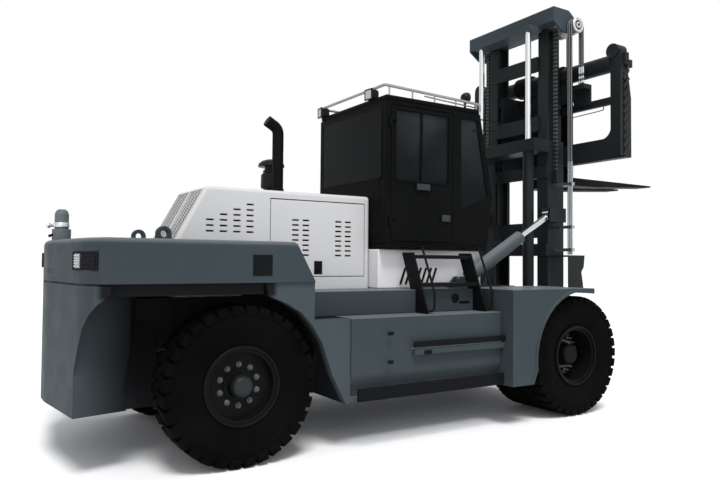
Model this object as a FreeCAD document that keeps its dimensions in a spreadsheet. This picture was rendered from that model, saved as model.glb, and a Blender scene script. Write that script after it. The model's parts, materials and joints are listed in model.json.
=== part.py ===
"""Heavy forklift truck with a two-stage mast: the chassis, cab, wheels, mast, carriage and forks.

Frame: +X forward, +Y to the driver's left, +Z up, origin on the ground under the middle of the
truck's length.  Places along X are measured from the front axle, and every sub-part is moved by
front_axle_x at the end.  The right side is modelled and the left side is its mirror image.
"""
import FreeCAD, Part
import math
import os
import Sketcher

Vector = FreeCAD.Vector
doc = FreeCAD.newDocument("forklift_truck")
sheet = doc.addObject("Spreadsheet::Sheet", "Sizes")

# Driving sizes in millimetres and degrees: alias, value, what it is.
SIZES = [
    # running gear
    ("wheelbase", 4050, "front axle to rear axle"),
    ("tyre_diameter", 1370, "outside of all six tyres"),
    ("tyre_width", 375, "section width of a tyre"),
    ("rim_diameter", 610, "bead seat of the rims"),
    ("rim_width", 290, "over the flanges of a rim"),
    ("rim_wall", 14, "barrel of a rim"),
    ("flange_height", 24, "rim flange above the bead seat"),
    ("flange_width", 12, "rim flange"),
    ("disc_thickness", 20, "wheel disc"),
    ("front_tyre_face", 1410, "middle of the truck to the outer face of the front tyres"),
    ("rear_tyre_face", 1290, "middle of the truck to the outer face of the rear tyres"),
    ("twin_spacing", 425, "between the middles of twin tyres"),
    ("hub_radius", 170, "wheel hubs at the disc"),
    ("hub_nose_radius", 115, "outer end of the planetary hubs"),
    ("spindle_radius", 70, "spindles inside the hubs"),
    ("axle_tube_radius", 105, "drive axle tubes"),
    ("axle_bowl_radius", 230, "drive axle bowl"),
    ("kingpin_out", 780, "middle of the truck to a kingpin"),
    ("kingpin_radius", 35, "kingpins"),
    ("knuckle_radius", 75, "sleeve round a kingpin"),
    ("knuckle_height", 200, "sleeve round a kingpin"),
    ("running_gap", 0.3, "between round faces that turn or slide"),
    ("moving_gap", 8, "between moving pieces that don't bear"),
    ("sweep_gap", 25, "steered tyres to the bodywork"),
    # chassis
    ("rail_outer", 460, "middle of the truck to the outside of a chassis rail"),
    ("rail_thickness", 60, "chassis rail plate"),
    ("rail_top", 1400, "top of the chassis rails"),
    ("rail_bottom", 620, "lowest edge of the chassis rails"),
    ("rail_rear", -4750, "rear end of the chassis rails"),
    ("rail_front", -45, "front end of the chassis rails"),
    ("deck_top", 1460, "top of the side decks"),
    ("deck_outer", 1000, "outer face of the side decks"),
    ("ledge_top", 1220, "top of the tanks, where the steps stand"),
    ("tank_outer", 1300, "outer face of the side tanks"),
    ("tank_rear", -3000, "rear end of the side tanks"),
    ("tank_front", -1110, "front end of the side tanks"),
    ("sill_bottom", 460, "lowest edge of the side tanks"),
    ("step_bar_reach", 60, "step bar beyond the tank"),
    ("fender_outer", 1480, "outer face of the front fenders"),
    ("fender_inner", 610, "inner face of the front fenders"),
    ("fender_front", 200, "front end of the front fenders"),
    ("fender_gap", 55, "tyre to the inside of a front fender"),
    ("guard_outer", 1280, "outer face of the rear mudguards"),
    # counterweight
    ("weight_rear", -5440, "rear face of the counterweight"),
    ("weight_half_width", 1300, "half the width of the counterweight"),
    ("weight_bow", 125, "bow of its rear face"),
    ("weight_corner", 240, "width of the bevels at its rear corners"),
    ("weight_bottom", 497, "lowest face of the counterweight"),
    ("seam_height", 1560, "joint between its upper and lower castings"),
    ("seam_gap", 16, "groove along the joint"),
    ("weight_top", 1920, "top of the counterweight"),
    ("weight_edge", 55, "rounding of its top edge"),
    ("arm_front", -3580, "front end of the arms at the top"),
    ("arm_slant", 200, "lean of the front end of the arms"),
    ("hood_gap", 20, "between hood and counterweight"),
    ("lug_x", -4515, "lifting lugs"),
    ("lug_out", 454, "middle of the truck to a lifting lug"),
    ("lug_radius", 70, "lifting lugs"),
    ("lug_bore", 32, "hole in a lifting lug"),
    ("lug_thickness", 60, "lifting lugs"),
    ("tow_x", -5310, "tow pin"),
    ("tow_radius", 60, "tow pin post"),
    ("tow_height", 280, "tow pin post above the counterweight"),
    # hood and engine
    ("hood_half_width", 440, "half the width of the hood"),
    ("hood_front", -2250, "front face of the hood"),
    ("hood_ridge", -4110, "where the roof of the hood bends down"),
    ("hood_rear", -4420, "rear face of the hood"),
    ("hood_top", 2463, "roof of the hood"),
    ("hood_slope_foot", 1900, "lower end of the sloping grille"),
    ("hood_wall", 30, "hood panels"),
    ("panel_rear", -3440, "rear edge of the hood's side doors"),
    ("panel_front", -2320, "front edge of the hood's side doors"),
    ("panel_bottom", 1590, "lower edge of the hood's side doors"),
    ("panel_top", 2360, "upper edge of the hood's side doors"),
    ("panel_hinge_radius", 14, "hinge sleeves of the hood's side doors"),
    ("panel_pin_radius", 8, "hinge pins of the hood's side doors"),
    ("exhaust_x", -3210, "exhaust stack"),
    ("exhaust_y", -100, "exhaust stack"),
    ("exhaust_radius", 60, "exhaust stack"),
    ("exhaust_top", 3160, "bend of the exhaust stack"),
    ("cleaner_x", -3170, "air cleaner"),
    ("cleaner_y", 150, "air cleaner"),
    ("cleaner_radius", 72, "body of the air cleaner"),
    ("cleaner_cap_radius", 148, "rain cap of the air cleaner"),
    ("cleaner_top", 2870, "top of the rain cap"),
    # cab
    ("cab_half_width", 724, "half the width of the cab"),
    ("cab_rear", -2236, "rear face of the cab"),
    ("cab_bottom", 1885, "underside of the cab"),
    ("cab_top", 3555, "roof of the cab"),
    ("cab_brow", -900, "front of the cab at the roof"),
    ("cab_belly", -690, "front of the cab at its furthest"),
    ("cab_belly_height", 2520, "height of the furthest point of the front"),
    ("cab_toe", -780, "front of the cab at the floor"),
    ("cab_wall", 40, "cab walls and doors"),
    ("cab_plate", 60, "roof and floor of the cab"),
    ("window_bottom", 2640, "lower edge of the side and rear windows"),
    ("window_top", 3410, "upper edge of the windows"),
    ("window_frame", 62, "window to the edge of its wall"),
    ("glass_thickness", 6, "window panes"),
    ("door_front", -1300, "front edge of the door opening"),
    ("hinge_radius", 18, "sleeve of a door hinge"),
    ("hinge_pin_radius", 10, "pin of a door hinge"),
    ("hinge_length", 70, "door hinges"),
    ("base_half_width", 600, "half the width of the cab's base"),
    ("base_front", -760, "front of the cab's base"),
    ("rail_tube_radius", 16, "handrails"),
    ("roof_rail_height", 75, "roof rail above the roof"),
    # steps
    ("step_rear", -2040, "rear plate of the steps"),
    ("step_front", -1230, "front plate of the steps"),
    ("step_plate", 16, "side plates of the steps"),
    ("step_depth", 205, "depth of the steps"),
    ("step_top", 1850, "top of the steps"),
    ("step_top_out", 755, "inner edge of the steps at the top"),
    ("step_lean", 255, "lean of the steps"),
    # mast
    ("pivot_x", 300, "tilt pivot of the mast"),
    ("pivot_z", 600, "tilt pivot of the mast"),
    ("pivot_pin_radius", 30, "tilt pivot pins"),
    ("pivot_eye_radius", 80, "eyes on the tilt pivot"),
    ("outer_rear", 420, "rear face of the outer uprights"),
    ("outer_depth", 300, "outer uprights, front to rear"),
    ("outer_half_width", 580, "outside of the outer uprights"),
    ("outer_flange", 180, "width of the outer uprights"),
    ("upright_wall", 30, "plates of the uprights"),
    ("outer_bottom", 350, "foot of the outer uprights"),
    ("outer_top", 3350, "head of the outer uprights"),
    ("inner_bottom", 2060, "foot of the inner uprights' flanges, raised"),
    ("inner_top", 4845, "head of the inner uprights, raised"),
    ("inner_gap", 7, "between inner and outer uprights"),
    ("inner_web_out", 475, "outer face of the inner uprights' web"),
    ("inner_web", 20, "web of the inner uprights"),
    ("inner_flange_in", 385, "inner edge of the inner uprights' flanges"),
    ("tie_depth", 30, "crossbeams of the outer mast"),
    ("lift_x", 210, "lift cylinders"),
    ("lift_out", 440, "middle of the truck to a lift cylinder"),
    ("lift_rod_radius", 38, "rods of the lift cylinders"),
    ("lift_barrel_radius", 72, "barrels of the lift cylinders"),
    ("lift_foot", 800, "foot of the lift cylinders"),
    ("lift_head", 3190, "underside of the upper crossbeam"),
    ("lift_rod_bottom", 2250, "lower end of the raised rods"),
    ("crosshead_rear", 294, "rear face of the crosshead"),
    ("crosshead_half_width", 795, "half the width of the crosshead"),
    ("crosshead_top", 5027, "top of the raised crosshead"),
    ("crosshead_plate", 30, "end plates of the crosshead"),
    ("sheave_x", 640, "axis of the chain sheaves"),
    ("sheave_z", 4820, "axis of the raised chain sheaves"),
    ("sheave_radius", 115, "tread of the chain sheaves"),
    ("sheave_pin_radius", 28, "pins of the sheaves"),
    ("chain_out", 630, "middle of the truck to a chain"),
    ("chain_width", 56, "leaf chains"),
    ("chain_thickness", 26, "leaf chains"),
    ("chain_anchor", 2950, "lower end of the rear chain runs"),
    ("hose_out", 850, "middle of the truck to the hoses"),
    ("hose_sheave_radius", 110, "hose sheave"),
    ("hose_radius", 11, "mast hoses and pipes"),
    ("hose_pitch", 28, "between mast hoses"),
    ("pipe_top", 3050, "upper end of the steel pipes"),
    ("pipe_bottom", 1860, "lower end of the mast pipes"),
    # tilt cylinders
    ("tilt_out", 700, "middle of the truck to a tilt cylinder"),
    ("tilt_base_x", -1150, "rear pins of the tilt cylinders"),
    ("tilt_base_z", 1526, "rear pins of the tilt cylinders"),
    ("tilt_pin_z", 2360, "front pins of the tilt cylinders"),
    ("tilt_barrel_radius", 80, "barrels of the tilt cylinders"),
    ("tilt_rod_radius", 38, "rods of the tilt cylinders"),
    ("tilt_pin_radius", 30, "pins of the tilt cylinders"),
    ("tilt_eye_radius", 75, "front eyes of the tilt cylinders"),
    ("tilt_rear_eye_radius", 58, "rear eyes of the tilt cylinders"),
    ("tilt_eye_width", 90, "eyes of the tilt cylinders"),
    ("tilt_barrel_length", 1080, "rear pin to the end of the barrel"),
    ("tilt_drift", 14, "play in the rod's eye, which the mast's arc takes up"),
    # carriage and forks
    ("carriage_x", 950, "middle of the carriage frame"),
    ("carriage_depth", 120, "carriage frame, front to rear"),
    ("carriage_half_width", 1400, "half the width of the carriage"),
    ("carriage_arm", 215, "width of an end arm"),
    ("carriage_bottom", 3070, "lower edge of the raised carriage"),
    ("carriage_bar", 270, "height of the lower bar"),
    ("middle_bar_z", 3815, "middle bar of the carriage"),
    ("middle_bar_height", 95, "middle bar of the carriage"),
    ("shaft_z", 4300, "fork shaft"),
    ("shaft_radius", 110, "fork shaft"),
    ("boss_z", 4440, "round heads of the end arms"),
    ("boss_radius", 90, "round heads of the end arms"),
    ("fork_out", 284, "middle of the truck to the middle of a fork"),
    ("fork_width", 250, "forks"),
    ("fork_thickness", 110, "shank and heel of a fork"),
    ("fork_top", 2930, "top of the raised blades"),
    ("fork_tip", 2870, "front axle to the fork tips"),
    ("fork_tip_thickness", 22, "blades at the tip"),
]


class Size:
    """A length that knows its value and the sheet expression that gives it."""

    def __init__(self, value, text):
        self.value = float(value)
        self.text = text

    def __add__(self, other):
        other = size(other)
        return Size(self.value + other.value, f"({self.text} + {other.text})")

    def __sub__(self, other):
        other = size(other)
        return Size(self.value - other.value, f"({self.text} - {other.text})")

    def __mul__(self, other):
        other = size(other)
        return Size(self.value * other.value, f"({self.text} * {other.text})")

    def __truediv__(self, other):
        other = size(other)
        return Size(self.value / other.value, f"({self.text} / {other.text})")

    def __neg__(self):
        return self * -1

    def __radd__(self, other):
        return size(other) + self

    def __rsub__(self, other):
        return size(other) - self

    def __rmul__(self, other):
        return size(other) * self


def size(number):
    """A bare number as a Size; a Size as it is."""
    return number if isinstance(number, Size) else Size(number, f"({number})")


def hypotenuse(a, b):
    """The length of the diagonal of two sides at right angles."""
    a, b = size(a), size(b)
    return Size(math.hypot(a.value, b.value), f"sqrt({a.text}^2 + {b.text}^2)")


def other_leg(c, a):
    """The third side of a right-angled triangle with hypotenuse c and side a."""
    c, a = size(c), size(a)
    return Size(math.sqrt(c.value ** 2 - a.value ** 2), f"sqrt({c.text}^2 - {a.text}^2)")


class Names:
    """The sheet's cells, by alias."""


s = Names()
for row, (alias, value, meaning) in enumerate(SIZES, start=1):
    sheet.set(f"A{row}", meaning)
    sheet.set(f"B{row}", str(value))
    sheet.setAlias(f"B{row}", alias)
    setattr(s, alias, Size(value, f"Sizes.{alias}"))
doc.recompute()

# ---------------------------------------------------------------- building blocks

AXIS_TURNS = {
    "X": FreeCAD.Rotation(Vector(0, 1, 0), 90),
    "Y": FreeCAD.Rotation(Vector(1, 0, 0), -90),
    "Z": FreeCAD.Rotation(),
}
# Plane: the turn that stands a sketch on it, and the sign of its normal along the third axis.
PLANES = {
    "XY": (FreeCAD.Rotation(), "z", 1),
    "XZ": (FreeCAD.Rotation(Vector(1, 0, 0), 90), "y", -1),
    "YZ": (FreeCAD.Rotation(Vector(1, 1, 1), 120), "x", 1),
}


def bind(thing, path, length):
    """Bind a property to the sheet."""
    thing.setExpression(path, size(length).text)


def bind_place(thing, x, y, z):
    """Bind the three coordinates of an object's place."""
    for letter, length in zip("xyz", (x, y, z)):
        bind(thing, f".Placement.Base.{letter}", length)


def box(x, y, z):
    """A block between the pairs of limits x, y and z."""
    block = doc.addObject("Part::Box", "block")
    bind(block, "Length", x[1] - x[0])
    bind(block, "Width", y[1] - y[0])
    bind(block, "Height", z[1] - z[0])
    bind_place(block, x[0], y[0], z[0])
    return block


def rod(axis, start, end, radius, across):
    """A cylinder along X, Y or Z from start to end; across is its place on the other two axes."""
    cylinder = doc.addObject("Part::Cylinder", "rod")
    bind(cylinder, "Radius", radius)
    bind(cylinder, "Height", size(end) - start)
    cylinder.Placement.Rotation = AXIS_TURNS[axis]
    place = list(across)
    place.insert("XYZ".index(axis), start)
    bind_place(cylinder, *place)
    return cylinder


def sketch_outline(sketch, outline):
    """Draw a closed outline of straight lines, each corner bound to the sheet."""
    corners = [(size(u), size(v)) for u, v in outline]
    count = len(corners)
    for index in range(count):
        (u, v), (next_u, next_v) = corners[index], corners[(index + 1) % count]
        line = Part.LineSegment(Vector(u.value, v.value, 0), Vector(next_u.value, next_v.value, 0))
        sketch.addGeometry(line, False)
    for index in range(count):
        sketch.addConstraint(Sketcher.Constraint("Coincident", index, 2, (index + 1) % count, 1))
    for index, corner in enumerate(corners):
        for kind, length in zip(("DistanceX", "DistanceY"), corner):
            rule = sketch.addConstraint(Sketcher.Constraint(kind, -1, 1, index, 1, length.value))
            bind(sketch, f"Constraints[{rule}]", length)


def prism(plane, outline, start, end):
    """An outline on the XY, XZ or YZ plane, extruded along the third axis from start to end."""
    turn, letter, sign = PLANES[plane]
    sketch = doc.addObject("Sketcher::SketchObject", "outline")
    sketch_outline(sketch, outline)
    sketch.Placement.Rotation = turn
    bind(sketch, f".Placement.Base.{letter}", start if sign > 0 else end)
    extrusion = doc.addObject("Part::Extrusion", "prism")
    extrusion.Base = sketch
    extrusion.DirMode = "Normal"
    extrusion.Solid = True
    bind(extrusion, "LengthFwd", size(end) - start)
    return extrusion


def turned(axis, profile, centre):
    """A body turned about an axis along Y or Z.

    The profile's corners are (place along Y, radius) or (radius, place along Z).
    """
    role, line = {"Y": ("YZ_Plane", "H_Axis"), "Z": ("XZ_Plane", "V_Axis")}[axis]
    body = doc.addObject("PartDesign::Body", "turned")
    sketch = body.newObject("Sketcher::SketchObject", "profile")
    plane = next(o for o in body.Origin.OriginFeatures if o.Role == role)
    sketch.AttachmentSupport = (plane, "")
    sketch.MapMode = "FlatFace"
    sketch_outline(sketch, profile)
    turn = body.newObject("PartDesign::Revolution", "turn")
    turn.Profile = sketch
    turn.ReferenceAxis = (sketch, [line])
    turn.Angle = 360
    bind_place(body, *centre)
    return body


def fuse(*pieces):
    """One solid of pieces that touch."""
    union = doc.addObject("Part::MultiFuse", "fusion")
    union.Shapes = list(pieces)
    return union


def cut(base, *tools):
    """The base without the tools."""
    tool = tools[0] if len(tools) == 1 else fuse(*tools)
    difference = doc.addObject("Part::Cut", "cut")
    difference.Base = base
    difference.Tool = tool
    return difference


def tube(axis, start, end, radius, bore, across):
    """A cylinder with a bore right through it."""
    return cut(rod(axis, start, end, radius, across),
               rod(axis, start - size(1), end + size(1), bore, across))


def mirror(piece):
    """The piece on the other side of the truck."""
    image = doc.addObject("Part::Mirroring", "mirror")
    image.Source = piece
    image.Normal = Vector(0, 1, 0)
    return image


def round_edges(piece, radius, chosen):
    """Round the edges of a piece that the test picks."""
    doc.recompute()
    picked = [index for index, edge in enumerate(piece.Shape.Edges, start=1) if chosen(edge)]
    fillet = doc.addObject("Part::Fillet", "fillet")
    fillet.Base = piece
    fillet.Edges = [(index, radius.value, radius.value) for index in picked]
    return fillet


def pipe(points, radius, bend):
    """A round bar along straight runs, each corner rounded by an arc of the bend's radius."""
    points = [Vector(*[size(c).value for c in point]) for point in points]
    edges, start = [], points[0]
    for before, corner, after in zip(points, points[1:], points[2:]):
        back, on = (before - corner).normalize(), (after - corner).normalize()
        half_turn = (math.pi - back.getAngle(on)) / 2
        reach = bend.value * math.tan(half_turn)
        enter, leave = corner + back * reach, corner + on * reach
        inward = (back + on).normalize()
        middle = corner + inward * (bend.value / math.cos(half_turn) - bend.value)
        edges += [Part.LineSegment(start, enter).toShape(), Part.Arc(enter, middle, leave).toShape()]
        start = leave
    edges.append(Part.LineSegment(start, points[-1]).toShape())
    ring = Part.Circle(points[0], points[1] - points[0], size(radius).value).toShape()
    bar = doc.addObject("Part::Feature", "pipe")
    bar.Shape = Part.Wire(edges).makePipeShell([Part.Wire(ring)], True, True)
    return bar


subparts = []


def subpart(label, *pieces):
    """Name a finished sub-part and put it at its place along the truck."""
    part = doc.addObject("Part::Compound", label)
    part.Label = label
    part.Links = list(pieces)
    bind(part, ".Placement.Base.x", front_axle_x)
    subparts.append(part)
    return part


def both_sides(piece):
    """A right-hand piece and its mirror image."""
    return piece, mirror(piece)


# ---------------------------------------------------------------- sizes that follow from others

# Places behind the cab are listed for this wheelbase, and go with the rear axle when it changes.
listed_wheelbase = 4050
stern = listed_wheelbase - s.wheelbase
for alias in ("rail_rear", "tank_rear", "weight_rear", "arm_front", "lug_x", "tow_x", "hood_ridge", "hood_rear",
              "panel_rear", "exhaust_x", "cleaner_x"):
    setattr(s, alias, getattr(s, alias) + stern)

front_axle_x = (-s.weight_rear - s.fork_tip) / 2
tyre_radius = s.tyre_diameter / 2
axle_z = tyre_radius
rear_x = -s.wheelbase
front_tyre_middle = s.front_tyre_face - s.tyre_width / 2
rear_tyre_middle = s.rear_tyre_face - s.tyre_width / 2
bead = s.rim_diameter / 2
rail_inner = s.rail_outer - s.rail_thickness
tyre_overhang = s.rear_tyre_face - s.kingpin_out
outer_front = s.outer_rear + s.outer_depth
outer_inside = s.outer_half_width - s.upright_wall
inner_rear = s.outer_rear + s.upright_wall + s.inner_gap
inner_front = outer_front - s.upright_wall - s.inner_gap
inner_outside = outer_inside - s.inner_gap
tilt_run = s.pivot_x - s.tilt_base_x
tilt_rise = s.tilt_pin_z - s.tilt_base_z
tilt_length = hypotenuse(tilt_run, tilt_rise)
tilt_angle = math.degrees(math.atan2(tilt_rise.value, tilt_run.value))


# ---------------------------------------------------------------- wheels

def tyre(middle):
    """A right-hand tyre: rounded shoulders, bulged side walls and a bead on the rim."""
    half = s.tyre_width / 2
    bead_half = s.rim_width / 2 - s.flange_width
    section = [(bead_half, bead), (bead_half, bead + s.flange_height), (half * 0.97, bead + 90), (half, tyre_radius - 170),
               (half * 0.95, tyre_radius - 55), (half * 0.80, tyre_radius - 8), (half * 0.45, tyre_radius)]
    left = [(-middle + a, r) for a, r in section]
    right = [(-middle - a, r) for a, r in reversed(section)]
    return turned("Y", left + right, (0, 0, axle_z))


def rim(middle, disc_outer, disc_bore):
    """A right-hand rim: a barrel with two flanges, and the disc welded against its inner lip, with its outer face at
    disc_outer."""
    half = s.rim_width / 2
    seat_half = half - s.flange_width
    inside = bead - s.rim_wall
    lip = bead + s.flange_height
    disc_inner = disc_outer - s.disc_thickness
    outline = [(-middle - half, inside), (-middle - half, lip), (-middle - seat_half, lip),
               (-middle - seat_half, bead), (-middle + seat_half, bead), (-middle + seat_half, lip),
               (-middle + half, lip), (-middle + half, inside), (-disc_inner + 14, inside),
               (-disc_inner + 14, inside - 16), (-disc_inner, inside - 16), (-disc_inner, inside)]
    disc = tube("Y", -disc_outer, -disc_inner, inside - s.running_gap, disc_bore, (0, axle_z))
    return turned("Y", outline, (0, 0, axle_z)), disc


def hub(stations, bore_end):
    """A right-hand hub from (place, radius) stations, bored over the spindle up to bore_end."""
    outline = [(-place, radius) for place, radius in stations]
    last = stations[-1][0]
    bore = s.spindle_radius + s.running_gap
    outline += [(-last, 0), (-bore_end, 0), (-bore_end, bore), (-stations[0][0], bore)]
    return turned("Y", outline, (0, 0, axle_z))


inner_middle = front_tyre_middle - s.twin_spacing
outer_disc = front_tyre_middle - s.rim_width / 2 + 30
inner_disc = inner_middle + s.rim_width / 2 - 10
spindle_end = outer_disc - 40
front_hub = hub([(s.outer_half_width + 130, s.hub_radius + 20), (inner_disc + 2, s.hub_radius + 20),
                 (inner_disc + 2, s.hub_radius), (outer_disc + 70, s.hub_radius),
                 (outer_disc + 70, s.hub_nose_radius + 20), (outer_disc + 190, s.hub_nose_radius),
                 (outer_disc + 205, s.hub_nose_radius - 20)], spindle_end + s.moving_gap)
spacer = tube("Y", -outer_disc + s.disc_thickness, -inner_disc, bead - s.rim_wall - 26, s.hub_radius,
              (0, axle_z))
disc_gap = s.running_gap
front_wheel = (*rim(front_tyre_middle, outer_disc, s.hub_radius + disc_gap),
               *rim(inner_middle, inner_disc, s.hub_radius + 20 + disc_gap),
               fuse(spacer, front_hub))
front_tyres = (tyre(front_tyre_middle), tyre(inner_middle))
subpart("front_wheel_right", *front_wheel)
subpart("front_wheel_left", *[mirror(one) for one in front_wheel])
subpart("front_tyres_right", *front_tyres)
subpart("front_tyres_left", *[mirror(one) for one in front_tyres])

rear_disc = rear_tyre_middle + s.rim_width / 2 - 85
rear_spindle_end = rear_disc - 30
rear_hub_inner = s.kingpin_out + s.knuckle_radius + 95
disc_back = rear_disc - s.disc_thickness
rear_hub = hub([(rear_hub_inner, s.hub_radius - 30), (disc_back - 14, s.hub_radius - 30),
                (disc_back - 14, s.hub_radius), (disc_back, s.hub_radius),
                (disc_back, s.hub_radius - 30), (rear_disc + 15, s.hub_radius - 30),
                (rear_disc + 15, s.hub_nose_radius - 5), (rear_disc + 90, s.hub_nose_radius - 12),
                (rear_disc + 100, s.hub_nose_radius - 30)], rear_spindle_end + s.moving_gap)
rear_rim = rim(rear_tyre_middle, rear_disc, s.hub_radius - 30 + disc_gap)
rear_tyre = tyre(rear_tyre_middle)


def at_rear_axle(*pieces):
    """Wheel pieces, moved to the rear axle."""
    moved = doc.addObject("Part::Compound", "at_rear_axle")
    moved.Links = list(pieces)
    bind(moved, ".Placement.Base.x", rear_x)
    return moved


rear_wheel_right = at_rear_axle(*rear_rim, rear_hub)
rear_tyre_right = at_rear_axle(rear_tyre)
subpart("rear_wheel_right", rear_wheel_right)
subpart("rear_wheel_left", mirror(rear_wheel_right))
subpart("rear_tyre_right", rear_tyre_right)
subpart("rear_tyre_left", mirror(rear_tyre_right))

# ---------------------------------------------------------------- axles and knuckles

ear_height = 40
pin_low = axle_z - s.knuckle_height / 2
pin_high = axle_z + s.knuckle_height / 2
ear_end = s.kingpin_out + 70
beam_end = s.kingpin_out - s.knuckle_radius - 45


def kingpin_ear(low):
    """One of the two ears that hold a right-hand kingpin."""
    return box((rear_x - 80, rear_x + 80), (-ear_end, -beam_end), (low, low + ear_height))


ear_gap = s.running_gap
right_end = [kingpin_ear(pin_low - ear_height - ear_gap), kingpin_ear(pin_high + ear_gap),
             rod("Z", pin_low - ear_height, pin_high + ear_height, s.kingpin_radius,
                 (rear_x, -s.kingpin_out))]
rear_beam = box((rear_x - 110, rear_x + 110), (-beam_end, beam_end),
                (pin_low - ear_height - ear_gap, pin_high + ear_height + ear_gap))
rear_boss = rod("X", rear_x - 150, rear_x + 150, 90, (0, pin_high + ear_height + 60))
steer_cylinder = rod("Y", -480, 480, 62, (rear_x - 165, axle_z))
steer_rod = rod("Y", -560, 560, 30, (rear_x - 165, axle_z))
subpart("steer_axle", fuse(rear_beam, rear_boss, steer_cylinder, steer_rod,
                           *[piece for half in right_end for piece in both_sides(half)]))

sleeve = tube("Z", pin_low, pin_high, s.knuckle_radius, s.kingpin_radius + s.running_gap,
              (rear_x, -s.kingpin_out))
rear_spindle = rod("Y", -rear_spindle_end, -s.kingpin_out - s.knuckle_radius + 10, s.spindle_radius,
                   (rear_x, axle_z))
spindle_flange = rod("Y", -rear_hub_inner + s.moving_gap, -s.kingpin_out - s.knuckle_radius + 12, 95,
                     (rear_x, axle_z))
steer_arm = box((rear_x - 230, rear_x - 60), (-s.kingpin_out - 25, -s.kingpin_out + 25),
                (axle_z - 75, axle_z - 40))
knuckle = fuse(sleeve, rear_spindle, spindle_flange, steer_arm)
subpart("knuckle_right", knuckle)
subpart("knuckle_left", mirror(knuckle))

clevis_gap = 42
eye_out = 490


def pivot_clevis_plate(middle):
    """A plate of the drive axle that holds a mast pivot pin."""
    plate = prism("XZ", [(0, axle_z - 100), (s.pivot_x, s.pivot_z - s.pivot_eye_radius),
                         (s.pivot_x, s.pivot_z + 55), (0, axle_z + 15)], -middle - 15, -middle + 15)
    eye = rod("Y", -middle - 15, -middle + 15, s.pivot_eye_radius, (s.pivot_x, s.pivot_z))
    return fuse(plate, eye)


axle_tube = rod("Y", -s.outer_half_width - 110, s.outer_half_width + 110, s.axle_tube_radius, (0, axle_z))
bowl = doc.addObject("Part::Sphere", "bowl")
bowl.Placement.Rotation = AXIS_TURNS["Y"]
bind(bowl, "Radius", s.axle_bowl_radius)
bind_place(bowl, 0, 0, axle_z)
right_axle = [rod("Y", -spindle_end, -s.outer_half_width - 100, s.spindle_radius, (0, axle_z)),
              pivot_clevis_plate(eye_out - clevis_gap), pivot_clevis_plate(eye_out + clevis_gap),
              rod("Y", -eye_out - clevis_gap, -eye_out + clevis_gap, s.pivot_pin_radius,
                  (s.pivot_x, s.pivot_z)),
              box((-160, -60), (-s.rail_outer, -rail_inner), (axle_z, 920))]
subpart("drive_axle", fuse(axle_tube, bowl, *[piece for half in right_axle for piece in both_sides(half)]))

# ---------------------------------------------------------------- chassis

rail_side = [(s.rail_rear, 940), (rear_x + 700, 940), (rear_x + 900, s.rail_bottom),
             (-700, s.rail_bottom), (-450, 920), (s.rail_front, 920), (s.rail_front, s.rail_top),
             (s.rail_rear, s.rail_top)]
rail = prism("XZ", rail_side, -s.rail_outer, -rail_inner)
cross_places = [(s.rail_rear, 940, 1380), (rear_x - 150 - 120, 800, 1250), (rear_x + 150, 800, 1250),
                (stern - 3300, 700, 940), (stern - 2750, 700, 940), (size(-1700), 700, 1000), (size(-420), 940, 1380)]
crossmembers = [box((x, x + 120), (-rail_inner, rail_inner), (size(low), size(high)))
                for x, low, high in cross_places]
deck_plate = box((s.hood_front, s.rail_front), (-s.rail_outer, s.rail_outer), (s.rail_top, s.deck_top))
subpart("chassis_frame", fuse(*both_sides(rail), *crossmembers, deck_plate))

deck_rear = s.arm_front + s.arm_slant
side_deck = box((deck_rear, s.tank_front), (-s.deck_outer, -s.rail_outer), (s.ledge_top, s.deck_top))
subpart("side_decks", *both_sides(side_deck))

tank_section = [(-s.rail_outer, s.ledge_top), (-s.tank_outer, s.ledge_top), (-s.tank_outer, 700),
                (-s.tank_outer + 45, 570), (-s.tank_outer + 190, s.sill_bottom),
                (-s.rail_outer, s.sill_bottom)]
tank = prism("YZ", tank_section, s.tank_rear, s.tank_front)
step_bar = box((s.tank_rear + 690, s.tank_front), (-s.tank_outer - s.step_bar_reach, -s.tank_outer),
               (840, 900))
side_tank = fuse(tank, step_bar)
subpart("side_tanks", *both_sides(side_tank))

arch_radius = tyre_radius + s.fender_gap
fender_side = [(s.fender_front, s.deck_top), (s.tank_front, s.deck_top), (s.tank_front, 440),
               (-arch_radius - 60, 440), (-arch_radius + 40, axle_z), (0, axle_z),
               (s.fender_front, axle_z + tyre_radius)]
wheel_space = rod("Y", -s.fender_outer - 10, -s.fender_inner + 10, arch_radius, (0, axle_z))
fender_wall = box((s.tank_front, -arch_radius), (-s.fender_inner, -s.rail_outer), (s.rail_bottom, s.deck_top))
fender = fuse(cut(prism("XZ", fender_side, -s.fender_outer, -s.fender_inner), wheel_space), fender_wall)
subpart("front_fenders", *both_sides(fender))

guard_edge = [(190, s.seam_height), (220, 1450), (400, 1370), (540, 1290), (650, 1170), (750, 1010), (860, 710),
              (980, 480), (1010, 430)]
guard_side = [*[(rear_x + x, z) for x, z in guard_edge], (s.tank_rear, 430), (s.tank_rear, s.ledge_top),
              (deck_rear, s.ledge_top), (deck_rear, s.seam_height)]


def sweep_reach(share):
    """Reach from the kingpin of a steered tyre, at a share of its radius above or below the axle."""
    return hypotenuse(other_leg(tyre_radius, tyre_radius * share), tyre_overhang) + s.sweep_gap


shares = (0, 0.3, 0.5, 0.7, 0.85, 0.95)
wheel_sweep = turned("Z", [(size(0), axle_z - tyre_radius - 1), (tyre_overhang + s.sweep_gap, axle_z - tyre_radius - 1),
                           *[(sweep_reach(share), axle_z - tyre_radius * share) for share in reversed(shares[1:])],
                           *[(sweep_reach(share), axle_z + tyre_radius * share) for share in shares],
                           (tyre_overhang + s.sweep_gap, axle_z + tyre_radius + s.sweep_gap),
                           (size(0), axle_z + tyre_radius + s.sweep_gap)], (rear_x, -s.kingpin_out, 0))
guard = cut(prism("XZ", guard_side, -s.guard_outer, -s.rail_outer), wheel_sweep)
subpart("rear_mudguards", *both_sides(guard))

# ---------------------------------------------------------------- counterweight

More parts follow.
